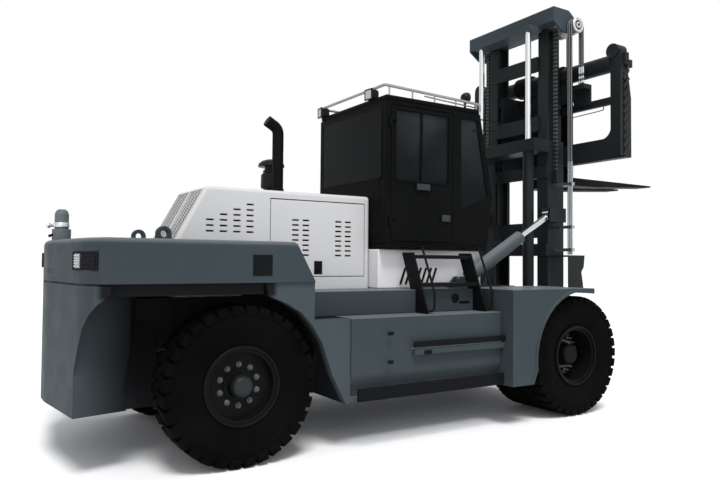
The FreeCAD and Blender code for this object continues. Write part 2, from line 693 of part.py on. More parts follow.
half = s.weight_half_width
notch = s.hood_half_width + s.hood_gap
arm_toe = s.arm_front + s.arm_slant
corner_rounds = (80, 700, 1200)


def casting(low, high, inset):
    """A block with the plan of the counterweight: a bowed rear face and rounded corners."""
    side, rear = half - inset, s.weight_rear + inset
    corners = [(rear + s.weight_bow * 1.88, -side), (rear + s.weight_bow, -side + s.weight_corner), (rear, -side + s.weight_corner * 5)]
    outline = [(arm_toe, -side), *corners, *[(x, -y) for x, y in reversed(corners)], (arm_toe, side)]
    block = prism("XY", outline, low, high)
    for (x, y), radius in zip(corners, corner_rounds):
        block = round_edges(block, size(radius), lambda edge: edge.BoundBox.ZLength > 1
                            and abs(edge.BoundBox.XMin - x.value) < 1 and abs(abs(edge.BoundBox.YMin) + y.value) < 1)
    return block


slab = round_edges(casting(s.seam_height, s.weight_top, size(0)), s.weight_edge,
                   lambda edge: edge.BoundBox.ZMin > s.weight_top.value - 1
                   and edge.BoundBox.XMin < arm_toe.value - 1)
hood_space = box((s.hood_rear - s.hood_gap, arm_toe + 1), (-notch, notch), (s.seam_height - 1, s.weight_top + 1))
slant = prism("XZ", [(s.arm_front, s.weight_top + 1), (arm_toe, s.seam_height), (arm_toe + 1, s.seam_height),
                     (arm_toe + 1, s.weight_top + 1)], -half - 1, half + 1)
door_room = box((s.panel_rear - 25, arm_toe + 1), (-notch - 390, -notch + 1), (s.seam_height - 1, s.panel_bottom + 110))
subpart("counterweight_slab", cut(slab, hood_space, slant, *both_sides(door_room)))

inner_wall_front = rear_x - 830
tail_half = half - 350
tail_plan = [(s.weight_rear, -tail_half), (inner_wall_front, -tail_half + 120), (inner_wall_front, -s.rail_outer),
             (s.rail_rear, -s.rail_outer), (s.rail_rear, s.rail_outer), (inner_wall_front, s.rail_outer),
             (inner_wall_front, tail_half - 120), (s.weight_rear, tail_half)]
tail = prism("XY", tail_plan, s.weight_bottom, s.seam_height)
arch_roof = box((rear_x - 1100, rear_x + 190), (-s.guard_outer + 40, -s.rail_outer), (s.tyre_diameter + 90, s.seam_height))
arch_curve = [(-1294, 490), (-1283, 829), (-1270, 1044), (-1252, 1209), (-1221, 1319), (-1175, 1407), (-1130, 1450),
              (-1088, 1480), (-1088, s.seam_height)]
arch_shoulder = prism("XZ", [*[(rear_x + x, z) for x, z in arch_curve], (s.weight_rear, s.seam_height),
                             (s.weight_rear, 490)], -half, half)
shaped = doc.addObject("Part::Common", "shaped")
shaped.Base = fuse(tail, arch_shoulder, *both_sides(arch_roof))
shaped.Tool = fuse(casting(s.weight_bottom, s.seam_height - s.seam_gap, size(0)),
                   casting(s.seam_height - s.seam_gap, s.seam_height, size(20)))
subpart("counterweight_base", cut(shaped, *both_sides(wheel_sweep)))

lug_z = s.weight_top + s.lug_radius
lug = cut(fuse(rod("Y", -s.lug_out - s.lug_thickness / 2, -s.lug_out + s.lug_thickness / 2, s.lug_radius,
                   (s.lug_x, lug_z)),
               box((s.lug_x - s.lug_radius, s.lug_x + s.lug_radius),
                   (-s.lug_out - s.lug_thickness / 2, -s.lug_out + s.lug_thickness / 2),
                   (s.weight_top, lug_z))),
          rod("Y", -s.lug_out - s.lug_thickness, -s.lug_out + s.lug_thickness, s.lug_bore,
              (s.lug_x, lug_z)))
subpart("lifting_lugs", *both_sides(lug))

tow_top = s.weight_top + s.tow_height
tow_profile = [(size(0), s.weight_top), (s.tow_radius + 20, s.weight_top), (s.tow_radius + 20, s.weight_top + 100),
               (s.tow_radius, s.weight_top + 100), (s.tow_radius, tow_top - 45), (s.tow_radius - 9, tow_top - 17),
               (s.tow_radius - 28, tow_top), (size(0), tow_top)]
subpart("tow_pin", turned("Z", tow_profile, (s.tow_x, 0, 0)))

# ---------------------------------------------------------------- hood, engine, exhaust


def hood_outline(wall):
    """Side outline of the hood, or of the space inside its panels."""
    return [(s.hood_rear + wall, s.rail_top - (wall * 0.01)), (s.hood_front - wall, s.rail_top - (wall * 0.01)),
            (s.hood_front - wall, s.hood_top - wall), (s.hood_ridge + wall * 0.6, s.hood_top - wall),
            (s.hood_rear + wall, s.hood_slope_foot - wall * 0.4)]


hood_skin = cut(prism("XZ", hood_outline(size(0)), -s.hood_half_width, s.hood_half_width),
                prism("XZ", hood_outline(s.hood_wall), -s.hood_half_width + s.hood_wall,
                      s.hood_half_width - s.hood_wall))
panel_gap = s.moving_gap
panel_x = (s.panel_rear, s.panel_front)
panel_z = (s.panel_bottom, s.panel_top)
panel_hinge_y = s.hood_half_width + s.panel_hinge_radius
panel_hinge_z = s.panel_top + panel_gap
panel_hinges = (s.panel_rear + 120, s.panel_front - 120 - s.hinge_length)
panel_hole = box((panel_x[0] - panel_gap, panel_x[1] + panel_gap),
                 (-s.hood_half_width - 1, -s.hood_half_width + s.hood_wall + 1),
                 (panel_z[0] - panel_gap, panel_z[1] + panel_gap))


def panel_sleeve(start):
    """A hinge sleeve of a hood panel, welded above its opening."""
    end = start + s.hinge_length
    outside = fuse(rod("X", start, end, s.panel_hinge_radius, (-panel_hinge_y, panel_hinge_z)),
                   box((start, end), (-panel_hinge_y, -s.hood_half_width),
                       (panel_hinge_z, panel_hinge_z + s.panel_hinge_radius)))
    return cut(outside, rod("X", start - 1, end + 1, s.panel_pin_radius + s.running_gap,
                            (-panel_hinge_y, panel_hinge_z)))


def panel_leaf(start):
    """A pin that turns in a hood panel's hinge sleeve, with the leaf that carries it."""
    end = start + s.hinge_length + 1
    return fuse(rod("X", start - 6, end + 4, s.panel_pin_radius, (-panel_hinge_y, panel_hinge_z)),
                box((end, end + 35), (-panel_hinge_y - 5, -s.hood_half_width - 6), (panel_z[1] - 50, panel_hinge_z + 5)),
                box((end, end + 35), (-s.hood_half_width - 6, -s.hood_half_width), (panel_z[1] - 50, panel_z[1] - 10)))


sleeves = [panel_sleeve(start) for start in panel_hinges]
right_hood = cut(hood_skin, *both_sides(panel_hole))
subpart("engine_hood", fuse(right_hood, *[piece for one in sleeves for piece in both_sides(one)]))
hood_panel = fuse(box(panel_x, (-s.hood_half_width, -s.hood_half_width + s.hood_wall), panel_z),
                  *[panel_leaf(start) for start in panel_hinges])
subpart("hood_door_right", hood_panel)
subpart("hood_door_left", mirror(hood_panel))
subpart("engine_block", box((stern - 3760, size(-2590)), (90 - s.hood_half_width, s.hood_half_width - 90), (size(940), size(2200))))

stack = pipe([(s.exhaust_x, s.exhaust_y, s.hood_top), (s.exhaust_x, s.exhaust_y, s.exhaust_top),
              (s.exhaust_x - 130, s.exhaust_y, s.exhaust_top + 75)], s.exhaust_radius, size(95))
subpart("exhaust_stack", stack)
cleaner = fuse(rod("Z", s.hood_top, s.cleaner_top - 50, s.cleaner_radius, (s.cleaner_x, s.cleaner_y)),
               rod("Z", s.cleaner_top - 50, s.cleaner_top, s.cleaner_cap_radius, (s.cleaner_x, s.cleaner_y)))
subpart("air_cleaner", cleaner)

# ---------------------------------------------------------------- cab

wall = s.cab_wall
floor_top = s.cab_bottom + s.cab_plate
roof_bottom = s.cab_top - s.cab_plate
side = s.cab_half_width
rear_inside = s.cab_rear + wall


def front_x(height, inset):
    """X of the front of the cab at a height, moved back by inset."""
    height = size(height)
    if height.value >= s.cab_belly_height.value:
        share = (height - s.cab_belly_height) / (s.cab_top - s.cab_belly_height)
        return s.cab_belly + (s.cab_brow - s.cab_belly) * share - inset
    share = (height - s.cab_bottom) / (s.cab_belly_height - s.cab_bottom)
    return s.cab_toe + (s.cab_belly - s.cab_toe) * share - inset


subpart("cab_base", box((s.hood_front + s.moving_gap, s.base_front), (-s.base_half_width, s.base_half_width),
                        (s.deck_top, s.cab_bottom)))
subpart("cab_floor", prism("XZ", [(s.cab_rear, s.cab_bottom), (front_x(s.cab_bottom, 0), s.cab_bottom),
                                  (front_x(floor_top, 0), floor_top), (s.cab_rear, floor_top)], -side, side))
subpart("cab_roof", prism("XZ", [(s.cab_rear, roof_bottom), (front_x(roof_bottom, 0), roof_bottom),
                                 (s.cab_brow, s.cab_top), (s.cab_rear, s.cab_top)], -side, side))

rear_window = ((-side + s.window_frame + 20, side - s.window_frame - 20), (s.window_bottom, s.window_top))
rear_panel = cut(box((s.cab_rear, rear_inside), (-side, side), (floor_top, roof_bottom)),
                 box((s.cab_rear - 1, rear_inside + 1), *rear_window))
subpart("cab_rear_wall", rear_panel)


def front_band(low, high, outer, inner):
    """Side outline of a band of the cab's front between two heights and two insets."""
    heights = [low, s.cab_belly_height, high] if low.value < s.cab_belly_height.value < high.value else [low, high]
    return ([(front_x(z, outer), z) for z in heights] + [(front_x(z, inner), z) for z in reversed(heights)])


windscreen = (s.cab_belly_height + 60, s.window_top)
foot_window = (floor_top + 90, s.cab_belly_height - 60)
front_panel = prism("XZ", front_band(floor_top, roof_bottom, size(0), wall), -side, side)
front_holes = [prism("XZ", front_band(low, high, size(-30), wall + 30), -side + s.window_frame, side - s.window_frame)
               for low, high in (windscreen, foot_window)]
subpart("cab_front_wall", cut(front_panel, *front_holes))

hinge_x = s.cab_rear + 51
hinge_y = side + s.hinge_radius
opening_rear = hinge_x + 16
opening_bottom = floor_top + 20
opening_top = s.window_top + 45
quarter_low = s.cab_belly_height - 170
quarter_rear = s.door_front + 120
quarter_window = [(quarter_rear, quarter_low), (front_x(s.cab_belly_height, wall + 35), s.cab_belly_height),
                  (front_x(s.window_top, wall + 35), s.window_top), (quarter_rear, s.window_top)]
side_panel = prism("XZ", [(rear_inside, floor_top), (front_x(floor_top, wall), floor_top),
                          (front_x(s.cab_belly_height, wall), s.cab_belly_height),
                          (front_x(roof_bottom, wall), roof_bottom), (rear_inside, roof_bottom)],
                   -side, -side + wall)
door_opening = box((opening_rear, s.door_front), (-side - 1, -side + wall + 1), (opening_bottom, opening_top))
quarter_opening = prism("XZ", quarter_window, -side - 1, -side + wall + 1)
hinge_places = (opening_bottom + 180, opening_top - 250)


def hinge_sleeve(low):
    """A hinge sleeve of the cab, welded to the rear edge of its side wall."""
    outside = fuse(rod("Z", low, low + s.hinge_length, s.hinge_radius, (hinge_x, -hinge_y)),
                   box((hinge_x - s.hinge_radius, hinge_x), (-hinge_y, -side), (low, low + s.hinge_length)))
    return cut(outside, rod("Z", low - 1, low + s.hinge_length + 1, s.hinge_pin_radius + s.running_gap,
                            (hinge_x, -hinge_y)))


side_wall = fuse(cut(side_panel, door_opening, quarter_opening), *[hinge_sleeve(low) for low in hinge_places])
subpart("cab_side_walls", *both_sides(side_wall))

door_rear = opening_rear + s.moving_gap
door_edges = (door_rear, s.door_front - s.moving_gap)
door_heights = (opening_bottom + s.moving_gap, opening_top - s.moving_gap)
door_window = ((door_rear + s.window_frame, s.door_front - s.moving_gap - s.window_frame),
               (s.window_bottom, s.window_top - 10))


def hinge_leaf(low):
    """A pin that turns in a hinge sleeve, with the leaf that carries it on the door."""
    high = low + s.hinge_length + 1
    leaf = box((hinge_x - 8, door_rear + 60), (-hinge_y - 6, -side - 6), (high, high + 30))
    foot = box((door_rear, door_rear + 60), (-side - 6, -side), (high, high + 30))
    return fuse(rod("Z", low - 10, high + 5, s.hinge_pin_radius, (hinge_x, -hinge_y)), leaf, foot)


door_panel = cut(box(door_edges, (-side, -side + wall), door_heights),
                 box(door_window[0], (-side - 1, -side + wall + 1), door_window[1]))
door = fuse(door_panel, *[hinge_leaf(low) for low in hinge_places])
subpart("cab_door_right", door)
subpart("cab_door_left", mirror(door))


def pane_depth(outer):
    """Limits along Y of a pane in the middle of a side wall."""
    middle = -outer + wall / 2
    return middle - s.glass_thickness / 2, middle + s.glass_thickness / 2


door_pane = box(door_window[0], pane_depth(side), door_window[1])
subpart("cab_door_glass_right", door_pane)
subpart("cab_door_glass_left", mirror(door_pane))

quarter_pane = prism("XZ", quarter_window, *pane_depth(side))
rear_pane = box((s.cab_rear + wall / 2, s.cab_rear + wall / 2 + s.glass_thickness), *rear_window)
front_panes = [prism("XZ", front_band(low, high, wall / 2, wall / 2 + s.glass_thickness),
                     -side + s.window_frame, side - s.window_frame) for low, high in (windscreen, foot_window)]
subpart("cab_glass", *both_sides(quarter_pane), rear_pane, *front_panes)

rail_z = s.cab_top + s.roof_rail_height
rail_line = side - 60
rail_back = s.cab_rear + 40
roof_loop = pipe([(-1000, -rail_line, s.cab_top), (-1000, -rail_line, rail_z), (rail_back, -rail_line, rail_z),
                  (rail_back, rail_line, rail_z), (-1000, rail_line, rail_z), (-1000, rail_line, s.cab_top)],
                 s.rail_tube_radius, size(45))
posts = [rod("Z", s.cab_top, rail_z - 5, s.rail_tube_radius - 5, place)
         for place in ((-1600, -rail_line), (-1600, rail_line), (rail_back, -380), (rail_back, 380),
                       (-2100, -rail_line), (-2100, rail_line))]
lamp = fuse(box((s.cab_rear - 85, s.cab_rear - 10), (-660, -500), (s.cab_top - 50, s.cab_top + 75)),
            box((s.cab_rear - 20, s.cab_rear), (-600, -560), (s.cab_top - 50, s.cab_top)))
subpart("roof_rail_and_lamps", fuse(roof_loop, *posts), *both_sides(lamp))

# ---------------------------------------------------------------- driver's place

seat_x = s.cab_rear + 386
pedestal = box((size(seat_x - 200), size(seat_x + 220)), (size(-230), size(230)), (floor_top, floor_top + 300))
subpart("seat_base", pedestal)
seat_top = floor_top + 300
squab = box((size(seat_x - 230), size(seat_x + 270)), (size(-250), size(250)), (seat_top, seat_top + 130))
backrest = box((size(seat_x - 230), size(seat_x - 110)), (size(-240), size(240)), (seat_top + 130, seat_top + 720))
subpart("driver_seat", fuse(squab, backrest))
column_x = s.cab_toe - 400
column_top = (column_x - 150, 0, floor_top + 700)
column = pipe([(column_x, 0, floor_top), (column_x, 0, floor_top + 480), column_top], size(45), size(120))
wheel_rim = doc.addObject("Part::Torus", "wheel_rim")
wheel_rim.Radius1 = 190
wheel_rim.Radius2 = 17
wheel_rim.Placement.Rotation = FreeCAD.Rotation(Vector(0, 1, 0), -34)
bind_place(wheel_rim, *column_top)
spokes = box((size(-190), size(190)), (size(-16), size(16)), (size(-8), size(8)))
cross_spokes = box((size(-16), size(16)), (size(-190), size(190)), (size(-8), size(8)))
spider = fuse(spokes, cross_spokes)
spider.Placement.Rotation = FreeCAD.Rotation(Vector(0, 1, 0), -34)
bind_place(spider, *column_top)
subpart("steering_column", fuse(column, wheel_rim, spider))

# ---------------------------------------------------------------- steps

lean_height = s.step_top - s.ledge_top
plate_outline = [(-s.step_top_out, s.step_top), (-s.step_top_out - s.step_depth, s.step_top),
                 (-s.step_top_out - s.step_depth - s.step_lean, s.ledge_top),
                 (-s.step_top_out - s.step_lean, s.ledge_top)]
plates = [prism("YZ", plate_outline, x, x + s.step_plate) for x in (s.step_rear, s.step_front - s.step_plate)]


def tread(height):
    """A tread between the side plates at a height."""
    out = s.step_top_out + s.step_lean * ((s.step_top - height) / lean_height)
    return box((s.step_rear + s.step_plate, s.step_front - s.step_plate),
               (-out - s.step_depth + 10, -out - 10), (height - 40, height))


treads = [tread(s.step_top - 25), tread(s.ledge_top + 310)]
bar_out = s.step_top_out + s.step_depth + s.step_lean - 15
grab_bars = []
for plate in (s.step_rear, s.step_front - s.step_plate):
    x = plate + 95
    grab_bars.append(pipe([(x, -s.cab_half_width, s.cab_bottom + 28), (x, -bar_out + 215, s.cab_bottom + 28),
                           (x, -bar_out, s.ledge_top + 220), (x, -bar_out, s.ledge_top + 26),
                           (plate + 5, -bar_out, s.ledge_top + 26)], s.rail_tube_radius - 4, size(45)))
deck_corner = box((deck_rear, s.tank_front + 1), (-s.deck_outer - s.running_gap, -s.rail_outer),
                  (s.ledge_top - 1, s.deck_top + s.running_gap))
subpart("side_steps", *both_sides(cut(fuse(*plates, *treads, *grab_bars), deck_corner)))

# ---------------------------------------------------------------- outer mast


def channel():
    """Plan outline of the right-hand outer upright: a channel that is open inwards."""
    out, inside = -s.outer_half_width, -outer_inside
    edge = -s.outer_half_width + s.outer_flange
    rear, front = s.outer_rear, outer_front
    return [(rear, out), (front, out), (front, edge), (front - s.upright_wall, edge),
            (front - s.upright_wall, inside), (rear + s.upright_wall, inside),
            (rear + s.upright_wall, edge), (rear, edge)]


upright = prism("XY", channel(), s.outer_bottom, s.outer_top)
ties = [box((s.outer_rear - s.tie_depth, s.outer_rear), (-s.outer_half_width, s.outer_half_width),
            (low, low + 160)) for low in (size(900), size(1840), s.tilt_pin_z + 500)]
head_beam = box((s.lift_x - 80, s.outer_rear), (-s.outer_half_width - 40, s.outer_half_width + 40),
                (s.lift_head, s.outer_top))
rod_hole = rod("Z", s.lift_head - 1, s.outer_top + 1, s.lift_rod_radius + s.moving_gap, (s.lift_x, -s.lift_out))
foot = fuse(box((s.lift_x - 80, s.outer_rear), (-s.outer_half_width, -s.lift_out + 80), (s.lift_foot - 45, s.lift_foot)),
            box((s.pivot_x, s.outer_rear), (size(-eye_out - 22), size(-eye_out + 22)), (size(530), s.lift_foot - 45)),
            rod("Y", size(-eye_out - 22), size(-eye_out + 22), s.pivot_eye_radius, (s.pivot_x, s.pivot_z)))
foot_bored = cut(foot, rod("Y", size(-eye_out - 30), size(-eye_out + 30), s.pivot_pin_radius + s.running_gap,
                           (s.pivot_x, s.pivot_z)))
chain_block = box((size(480), size(560)), (-s.chain_out - 45, -s.outer_half_width),
                  (s.chain_anchor - 150, s.chain_anchor))
tilt_in = s.tilt_out - s.tilt_eye_width / 2 - 12
tilt_plates = [box((s.pivot_x - 60, s.outer_rear + 120), (-y - 20, -y), (s.tilt_pin_z - 90, s.tilt_pin_z + 90))
               for y in (s.tilt_out + s.tilt_eye_width / 2 + 12, tilt_in - 20)]
tilt_back = box((s.pivot_x + s.tilt_eye_radius + 20, s.outer_rear + 120),
                (-s.tilt_out - s.tilt_eye_width / 2 - 32, -s.outer_half_width),
                (s.tilt_pin_z - 90, s.tilt_pin_z + 90))
tilt_pin = rod("Y", -s.tilt_out - s.tilt_eye_width / 2 - 20, -s.outer_half_width, s.tilt_pin_radius,
               (s.pivot_x, s.tilt_pin_z))
guard_plate = prism("XZ", [(outer_front, 1850), (outer_front + 5, 1850), (outer_front - 14, 1700), (outer_front - 59, 1640),
                           (outer_front - 14, 1410), (s.outer_rear, 1410), (s.outer_rear, 1850)],
                    -s.hose_out - 67, -s.hose_out - 55)
guard_shelf = box((s.outer_rear, outer_front + 5), (-s.hose_out - 60, -s.outer_half_width), (size(1830), size(1850)))
right_mast = [upright, foot_bored, chain_block, fuse(*tilt_plates, tilt_back, tilt_pin), fuse(guard_plate, guard_shelf)]
subpart("outer_mast", *ties, cut(head_beam, *both_sides(rod_hole)),
        *[piece for half in right_mast for piece in both_sides(half)])

barrel = cut(rod("Z", s.lift_foot, s.lift_head, s.lift_barrel_radius, (s.lift_x, -s.lift_out)),
             rod("Z", s.lift_foot + 40, s.lift_head + 1, s.lift_rod_radius + s.running_gap,
                 (s.lift_x, -s.lift_out)))
subpart("lift_cylinders", *both_sides(barrel))

pipe_x = s.sheave_x - s.hose_sheave_radius
pipes = [rod("Z", s.pipe_bottom, s.pipe_top, s.hose_radius, (pipe_x, -s.hose_out + s.hose_pitch * step))
         for step in (-1, 0, 1)]
clamps = [box((pipe_x - 25, pipe_x + 25), (-s.hose_out - 50, -s.outer_half_width), (size(z), size(z) + 40))
          for z in (1900, 2190, 2740)]
subpart("mast_pipes", fuse(*pipes, *clamps))

# ---------------------------------------------------------------- inner mast


def joist():
    """Plan outline of the right-hand inner upright: an I section."""
    out, edge = -inner_outside, -s.inner_flange_in
    web_out, web_in = -s.inner_web_out, -s.inner_web_out + s.inner_web
    rear, front = inner_rear, inner_front
    rear_in, front_in = inner_rear + s.upright_wall, inner_front - s.upright_wall
    return [(rear, out), (rear_in, out), (rear_in, web_out), (front_in, web_out), (front_in, out),
            (front, out), (front, edge), (front_in, edge), (front_in, web_in), (rear_in, web_in),
            (rear_in, edge), (rear, edge)]


inner_upright = prism("XY", joist(), s.inner_bottom, s.inner_top)
roller_radius = (s.outer_depth - s.upright_wall * 2) / 2 - s.running_gap
roller_x = (s.outer_rear + outer_front) / 2
roller_z = s.inner_bottom - roller_radius - 10
roller = fuse(rod("Y", -outer_inside + 5, -s.inner_web_out, roller_radius, (roller_x, roller_z)),
              box((roller_x - 80, roller_x + 80), (-s.inner_web_out, -s.inner_web_out + s.inner_web),
                  (roller_z - 80, s.inner_bottom)))
inner_ties = [box((s.outer_rear + 5, inner_rear), (-s.inner_flange_in - 10, s.inner_flange_in + 10),
                  (size(low), size(low) + 200)) for low in (2080, 3500, 4300)]
subpart("inner_mast", fuse(*both_sides(inner_upright), *both_sides(roller), *inner_ties))

beam_front = inner_rear + 10
crosshead_low = s.inner_top
end_plate = prism("XZ", [(s.crosshead_rear, s.crosshead_top), (s.crosshead_rear, crosshead_low),
                         (beam_front, s.sheave_z - 90), (s.sheave_x + 60, s.sheave_z - 90),
                         (s.sheave_x + 60, s.sheave_z + 120), (s.sheave_x - 60, s.crosshead_top)],
                  -s.crosshead_half_width, -s.crosshead_half_width + s.crosshead_plate)
sheave_pin = rod("Y", -s.hose_out + 40, -inner_outside, s.sheave_pin_radius, (s.sheave_x, s.sheave_z))
cap = box((beam_front, inner_front), (-inner_outside, inner_outside), (s.inner_top, s.crosshead_top - 30))
rod_seat = box((s.lift_x - 60, s.lift_x + 150), (-s.lift_out - 90, s.lift_out + 90), (s.inner_top - 70, s.inner_top))
crosshead = fuse(box((s.crosshead_rear, beam_front), (-s.crosshead_half_width, s.crosshead_half_width),
                     (s.inner_top, s.crosshead_top)), cap, rod_seat,
                 *both_sides(end_plate), *both_sides(sheave_pin))
subpart("crosshead", crosshead)

lift_rod = rod("Z", s.lift_rod_bottom, s.inner_top - 70, s.lift_rod_radius, (s.lift_x, -s.lift_out))
subpart("lift_rods", *both_sides(lift_rod))

sheave_bore = s.sheave_pin_radius + s.running_gap
sheave = tube("Y", -s.chain_out - s.chain_width / 2 - 8, -s.chain_out + s.chain_width / 2 + 8,
              s.sheave_radius, sheave_bore, (s.sheave_x, s.sheave_z))
hose_sheave = cut(rod("Y", -s.hose_out - 45, -s.hose_out + 45, s.hose_sheave_radius - s.hose_radius,
                      (s.sheave_x, s.sheave_z)),
                  rod("Y", -s.hose_out + 39, -s.hose_out + 46, sheave_bore, (s.sheave_x, s.sheave_z)))
subpart("mast_sheaves", *both_sides(sheave), hose_sheave)


def chain_run(x, low, high):
    """A right-hand straight run of leaf chain."""
    return box((x - s.chain_thickness / 2, x + s.chain_thickness / 2),
               (-s.chain_out - s.chain_width / 2, -s.chain_out + s.chain_width / 2), (low, high))


chain_line = s.sheave_radius + s.chain_thickness / 2 + s.running_gap
carriage_anchor = size(4100)
rear_run = chain_run(s.sheave_x - chain_line, s.chain_anchor, s.sheave_z)
front_run = chain_run(s.sheave_x + chain_line, carriage_anchor, s.sheave_z)
subpart("lift_chains_rear", *both_sides(rear_run))
subpart("lift_chains_front", *both_sides(front_run))

hose_feet = size(4080)
hose_places = [-s.hose_out + s.hose_pitch * step for step in (-1, 0, 1)]
subpart("mast_hoses_rear", *[rod("Z", s.pipe_top, s.sheave_z, s.hose_radius, (pipe_x, y)) for y in hose_places])
subpart("mast_hoses_front", *[rod("Z", hose_feet, s.sheave_z, s.hose_radius,
                                  (s.sheave_x + s.hose_sheave_radius, y)) for y in hose_places])

# ---------------------------------------------------------------- carriage and forks

plate_rear = s.carriage_x - s.carriage_depth / 2
plate_front = s.carriage_x + s.carriage_depth / 2
arm_in = s.carriage_half_width - s.carriage_arm
bar_top = s.carriage_bottom + s.carriage_bar
arm = prism("YZ", [(-s.carriage_half_width, s.carriage_bottom), (-s.carriage_half_width, s.middle_bar_z),
                   (-s.carriage_half_width + 60, s.shaft_z), (-s.carriage_half_width + 60, s.boss_z),
                   (-arm_in - 20, s.boss_z), (-arm_in, s.shaft_z), (-arm_in, bar_top),
                   (-arm_in, s.carriage_bottom)],
            plate_rear, plate_front)
boss = rod("X", plate_rear - 20, plate_front + 40, s.boss_radius, (-arm_in - 40, s.boss_z))
lower_bar = box((plate_rear, plate_front), (-arm_in, arm_in), (s.carriage_bottom, bar_top))
middle_bar = box((plate_rear, plate_rear + 50), (-arm_in, arm_in),
                 (s.middle_bar_z - s.middle_bar_height / 2, s.middle_bar_z + s.middle_bar_height / 2))
fork_shaft = rod("Y", -arm_in, arm_in, s.shaft_radius, (s.carriage_x, s.shaft_z))
cheek_in, cheek_out = size(330), size(372)
centre_plate = box((plate_rear, plate_rear + 30), (-cheek_out, cheek_out), (bar_top, s.shaft_z - 190))
cheek_rear = inner_rear + s.upright_wall + 20
cheek = box((cheek_rear, plate_rear), (-cheek_out, -cheek_in), (s.carriage_bottom - 40, s.shaft_z - 190))
guide_radius = (inner_front - inner_rear) / 2 - s.upright_wall - s.running_gap
guide_x = (inner_front + inner_rear) / 2
guides = [rod("Y", -s.inner_web_out + s.inner_web + 5, -cheek_out, guide_radius, (guide_x, size(z)))
          for z in (3130, 4020)]
anchor = box((s.sheave_x + chain_line - 35, plate_rear), (-s.chain_out - 45, -cheek_in),
             (carriage_anchor - 200, carriage_anchor))
right_carriage = [arm, boss, cheek, *guides, anchor]
hose_bracket = box((s.sheave_x + s.hose_sheave_radius - s.hose_radius - 2, plate_rear), (-s.hose_out - 50, -s.chain_out),
                   (hose_feet - 60, hose_feet))
hose_leg = box((plate_rear - 30, plate_rear), (-s.hose_out - 50, -s.chain_out),
               (s.middle_bar_z, hose_feet))
carriage = fuse(lower_bar, middle_bar, centre_plate, fork_shaft, hose_bracket, hose_leg,
                *[piece for half in right_carriage for piece in both_sides(half)])
subpart("carriage_frame", carriage)

shank_rear = plate_front + s.running_gap
shank_front = shank_rear + s.fork_thickness
fork_outline = [(shank_rear, s.shaft_z), (shank_rear, s.fork_top - s.fork_thickness),
                (shank_front + 500, s.fork_top - s.fork_thickness * 0.9),
                (s.fork_tip, s.fork_top - s.fork_tip_thickness), (s.fork_tip, s.fork_top),
                (shank_front, s.fork_top), (shank_front, s.shaft_z)]
fork_sides = (-s.fork_out - s.fork_width / 2, -s.fork_out + s.fork_width / 2)
eye = rod("Y", *fork_sides, s.shaft_radius + 40, (s.carriage_x, s.shaft_z))
fork = cut(fuse(prism("XZ", fork_outline, *fork_sides), eye),
           rod("Y", fork_sides[0] - 1, fork_sides[1] + 1, s.shaft_radius + s.running_gap,
               (s.carriage_x, s.shaft_z)))
subpart("fork_right", fork)
subpart("fork_left", mirror(fork))

# ---------------------------------------------------------------- tilt cylinders

tilt_turn = FreeCAD.Rotation(Vector(0, 1, 0), 90 - tilt_angle)


def along_tilt(start, end, radius):
    """A round bar on the line of the right-hand tilt cylinder, by distances from its rear pin."""
    start, end = size(start), size(end)
    bar = doc.addObject("Part::Cylinder", "tilt_bar")
    bind(bar, "Radius", radius)
    bind(bar, "Height", end - start)
    bar.Placement.Rotation = tilt_turn
    bind_place(bar, s.tilt_base_x + start * tilt_run / tilt_length, -s.tilt_out,
               s.tilt_base_z + start * tilt_rise / tilt_length)
    return bar


def tilt_eye(x, z, radius, bore):
    """An eye across a tilt cylinder's end, and its bore."""
    low, high = -s.tilt_out - s.tilt_eye_width / 2, -s.tilt_out + s.tilt_eye_width / 2
    return rod("Y", low, high, radius, (x, z)), rod("Y", low - 1, high + 1, bore, (x, z))


rod_start = size(520)
rear_eye, rear_bore = tilt_eye(s.tilt_base_x, s.tilt_base_z, s.tilt_rear_eye_radius,
                               s.tilt_pin_radius + s.running_gap)
tilt_barrel = cut(fuse(along_tilt(120, s.tilt_barrel_length, s.tilt_barrel_radius), along_tilt(20, 130, 44), rear_eye),
                  rear_bore,
                  along_tilt(rod_start - 300, s.tilt_barrel_length + 1, s.tilt_rod_radius + s.running_gap))
subpart("tilt_barrels", *both_sides(tilt_barrel))
front_eye, front_bore = tilt_eye(s.pivot_x, s.tilt_pin_z, s.tilt_eye_radius, s.tilt_pin_radius + s.tilt_drift)
tilt_rod = cut(fuse(along_tilt(rod_start, tilt_length - 30, s.tilt_rod_radius), front_eye), front_bore)
subpart("tilt_rods", *both_sides(tilt_rod))

bracket_outline = [(s.tilt_base_x - 170, s.deck_top), (s.tilt_base_x - 60, s.tilt_base_z + 60),
                   (s.tilt_base_x + 60, s.tilt_base_z + 60), (s.tilt_base_x + 120, s.deck_top)]
gap = s.tilt_eye_width / 2 + 1
bracket_sides = [prism("XZ", bracket_outline, *limits) for limits in
                 ((-s.tilt_out - gap - 25, -s.tilt_out - gap), (-s.tilt_out + gap, -s.tilt_out + gap + 25))]
bracket_pin = rod("Y", -s.tilt_out - gap - 25, -s.tilt_out + gap + 25, s.tilt_pin_radius,
                  (s.tilt_base_x, s.tilt_base_z))
subpart("tilt_brackets", *both_sides(fuse(*bracket_sides, bracket_pin)))

# ---------------------------------------------------------------- check and write

doc.recompute()
for thing in doc.Objects:
    if {"Invalid", "Error"} & set(thing.State):
        raise RuntimeError(f"{thing.Name} ({thing.Label}) failed: {thing.State}")
for part in subparts:
    if part.Shape.isNull() or not part.Shape.isValid():
        raise RuntimeError(f"{part.Label} has no valid shape")

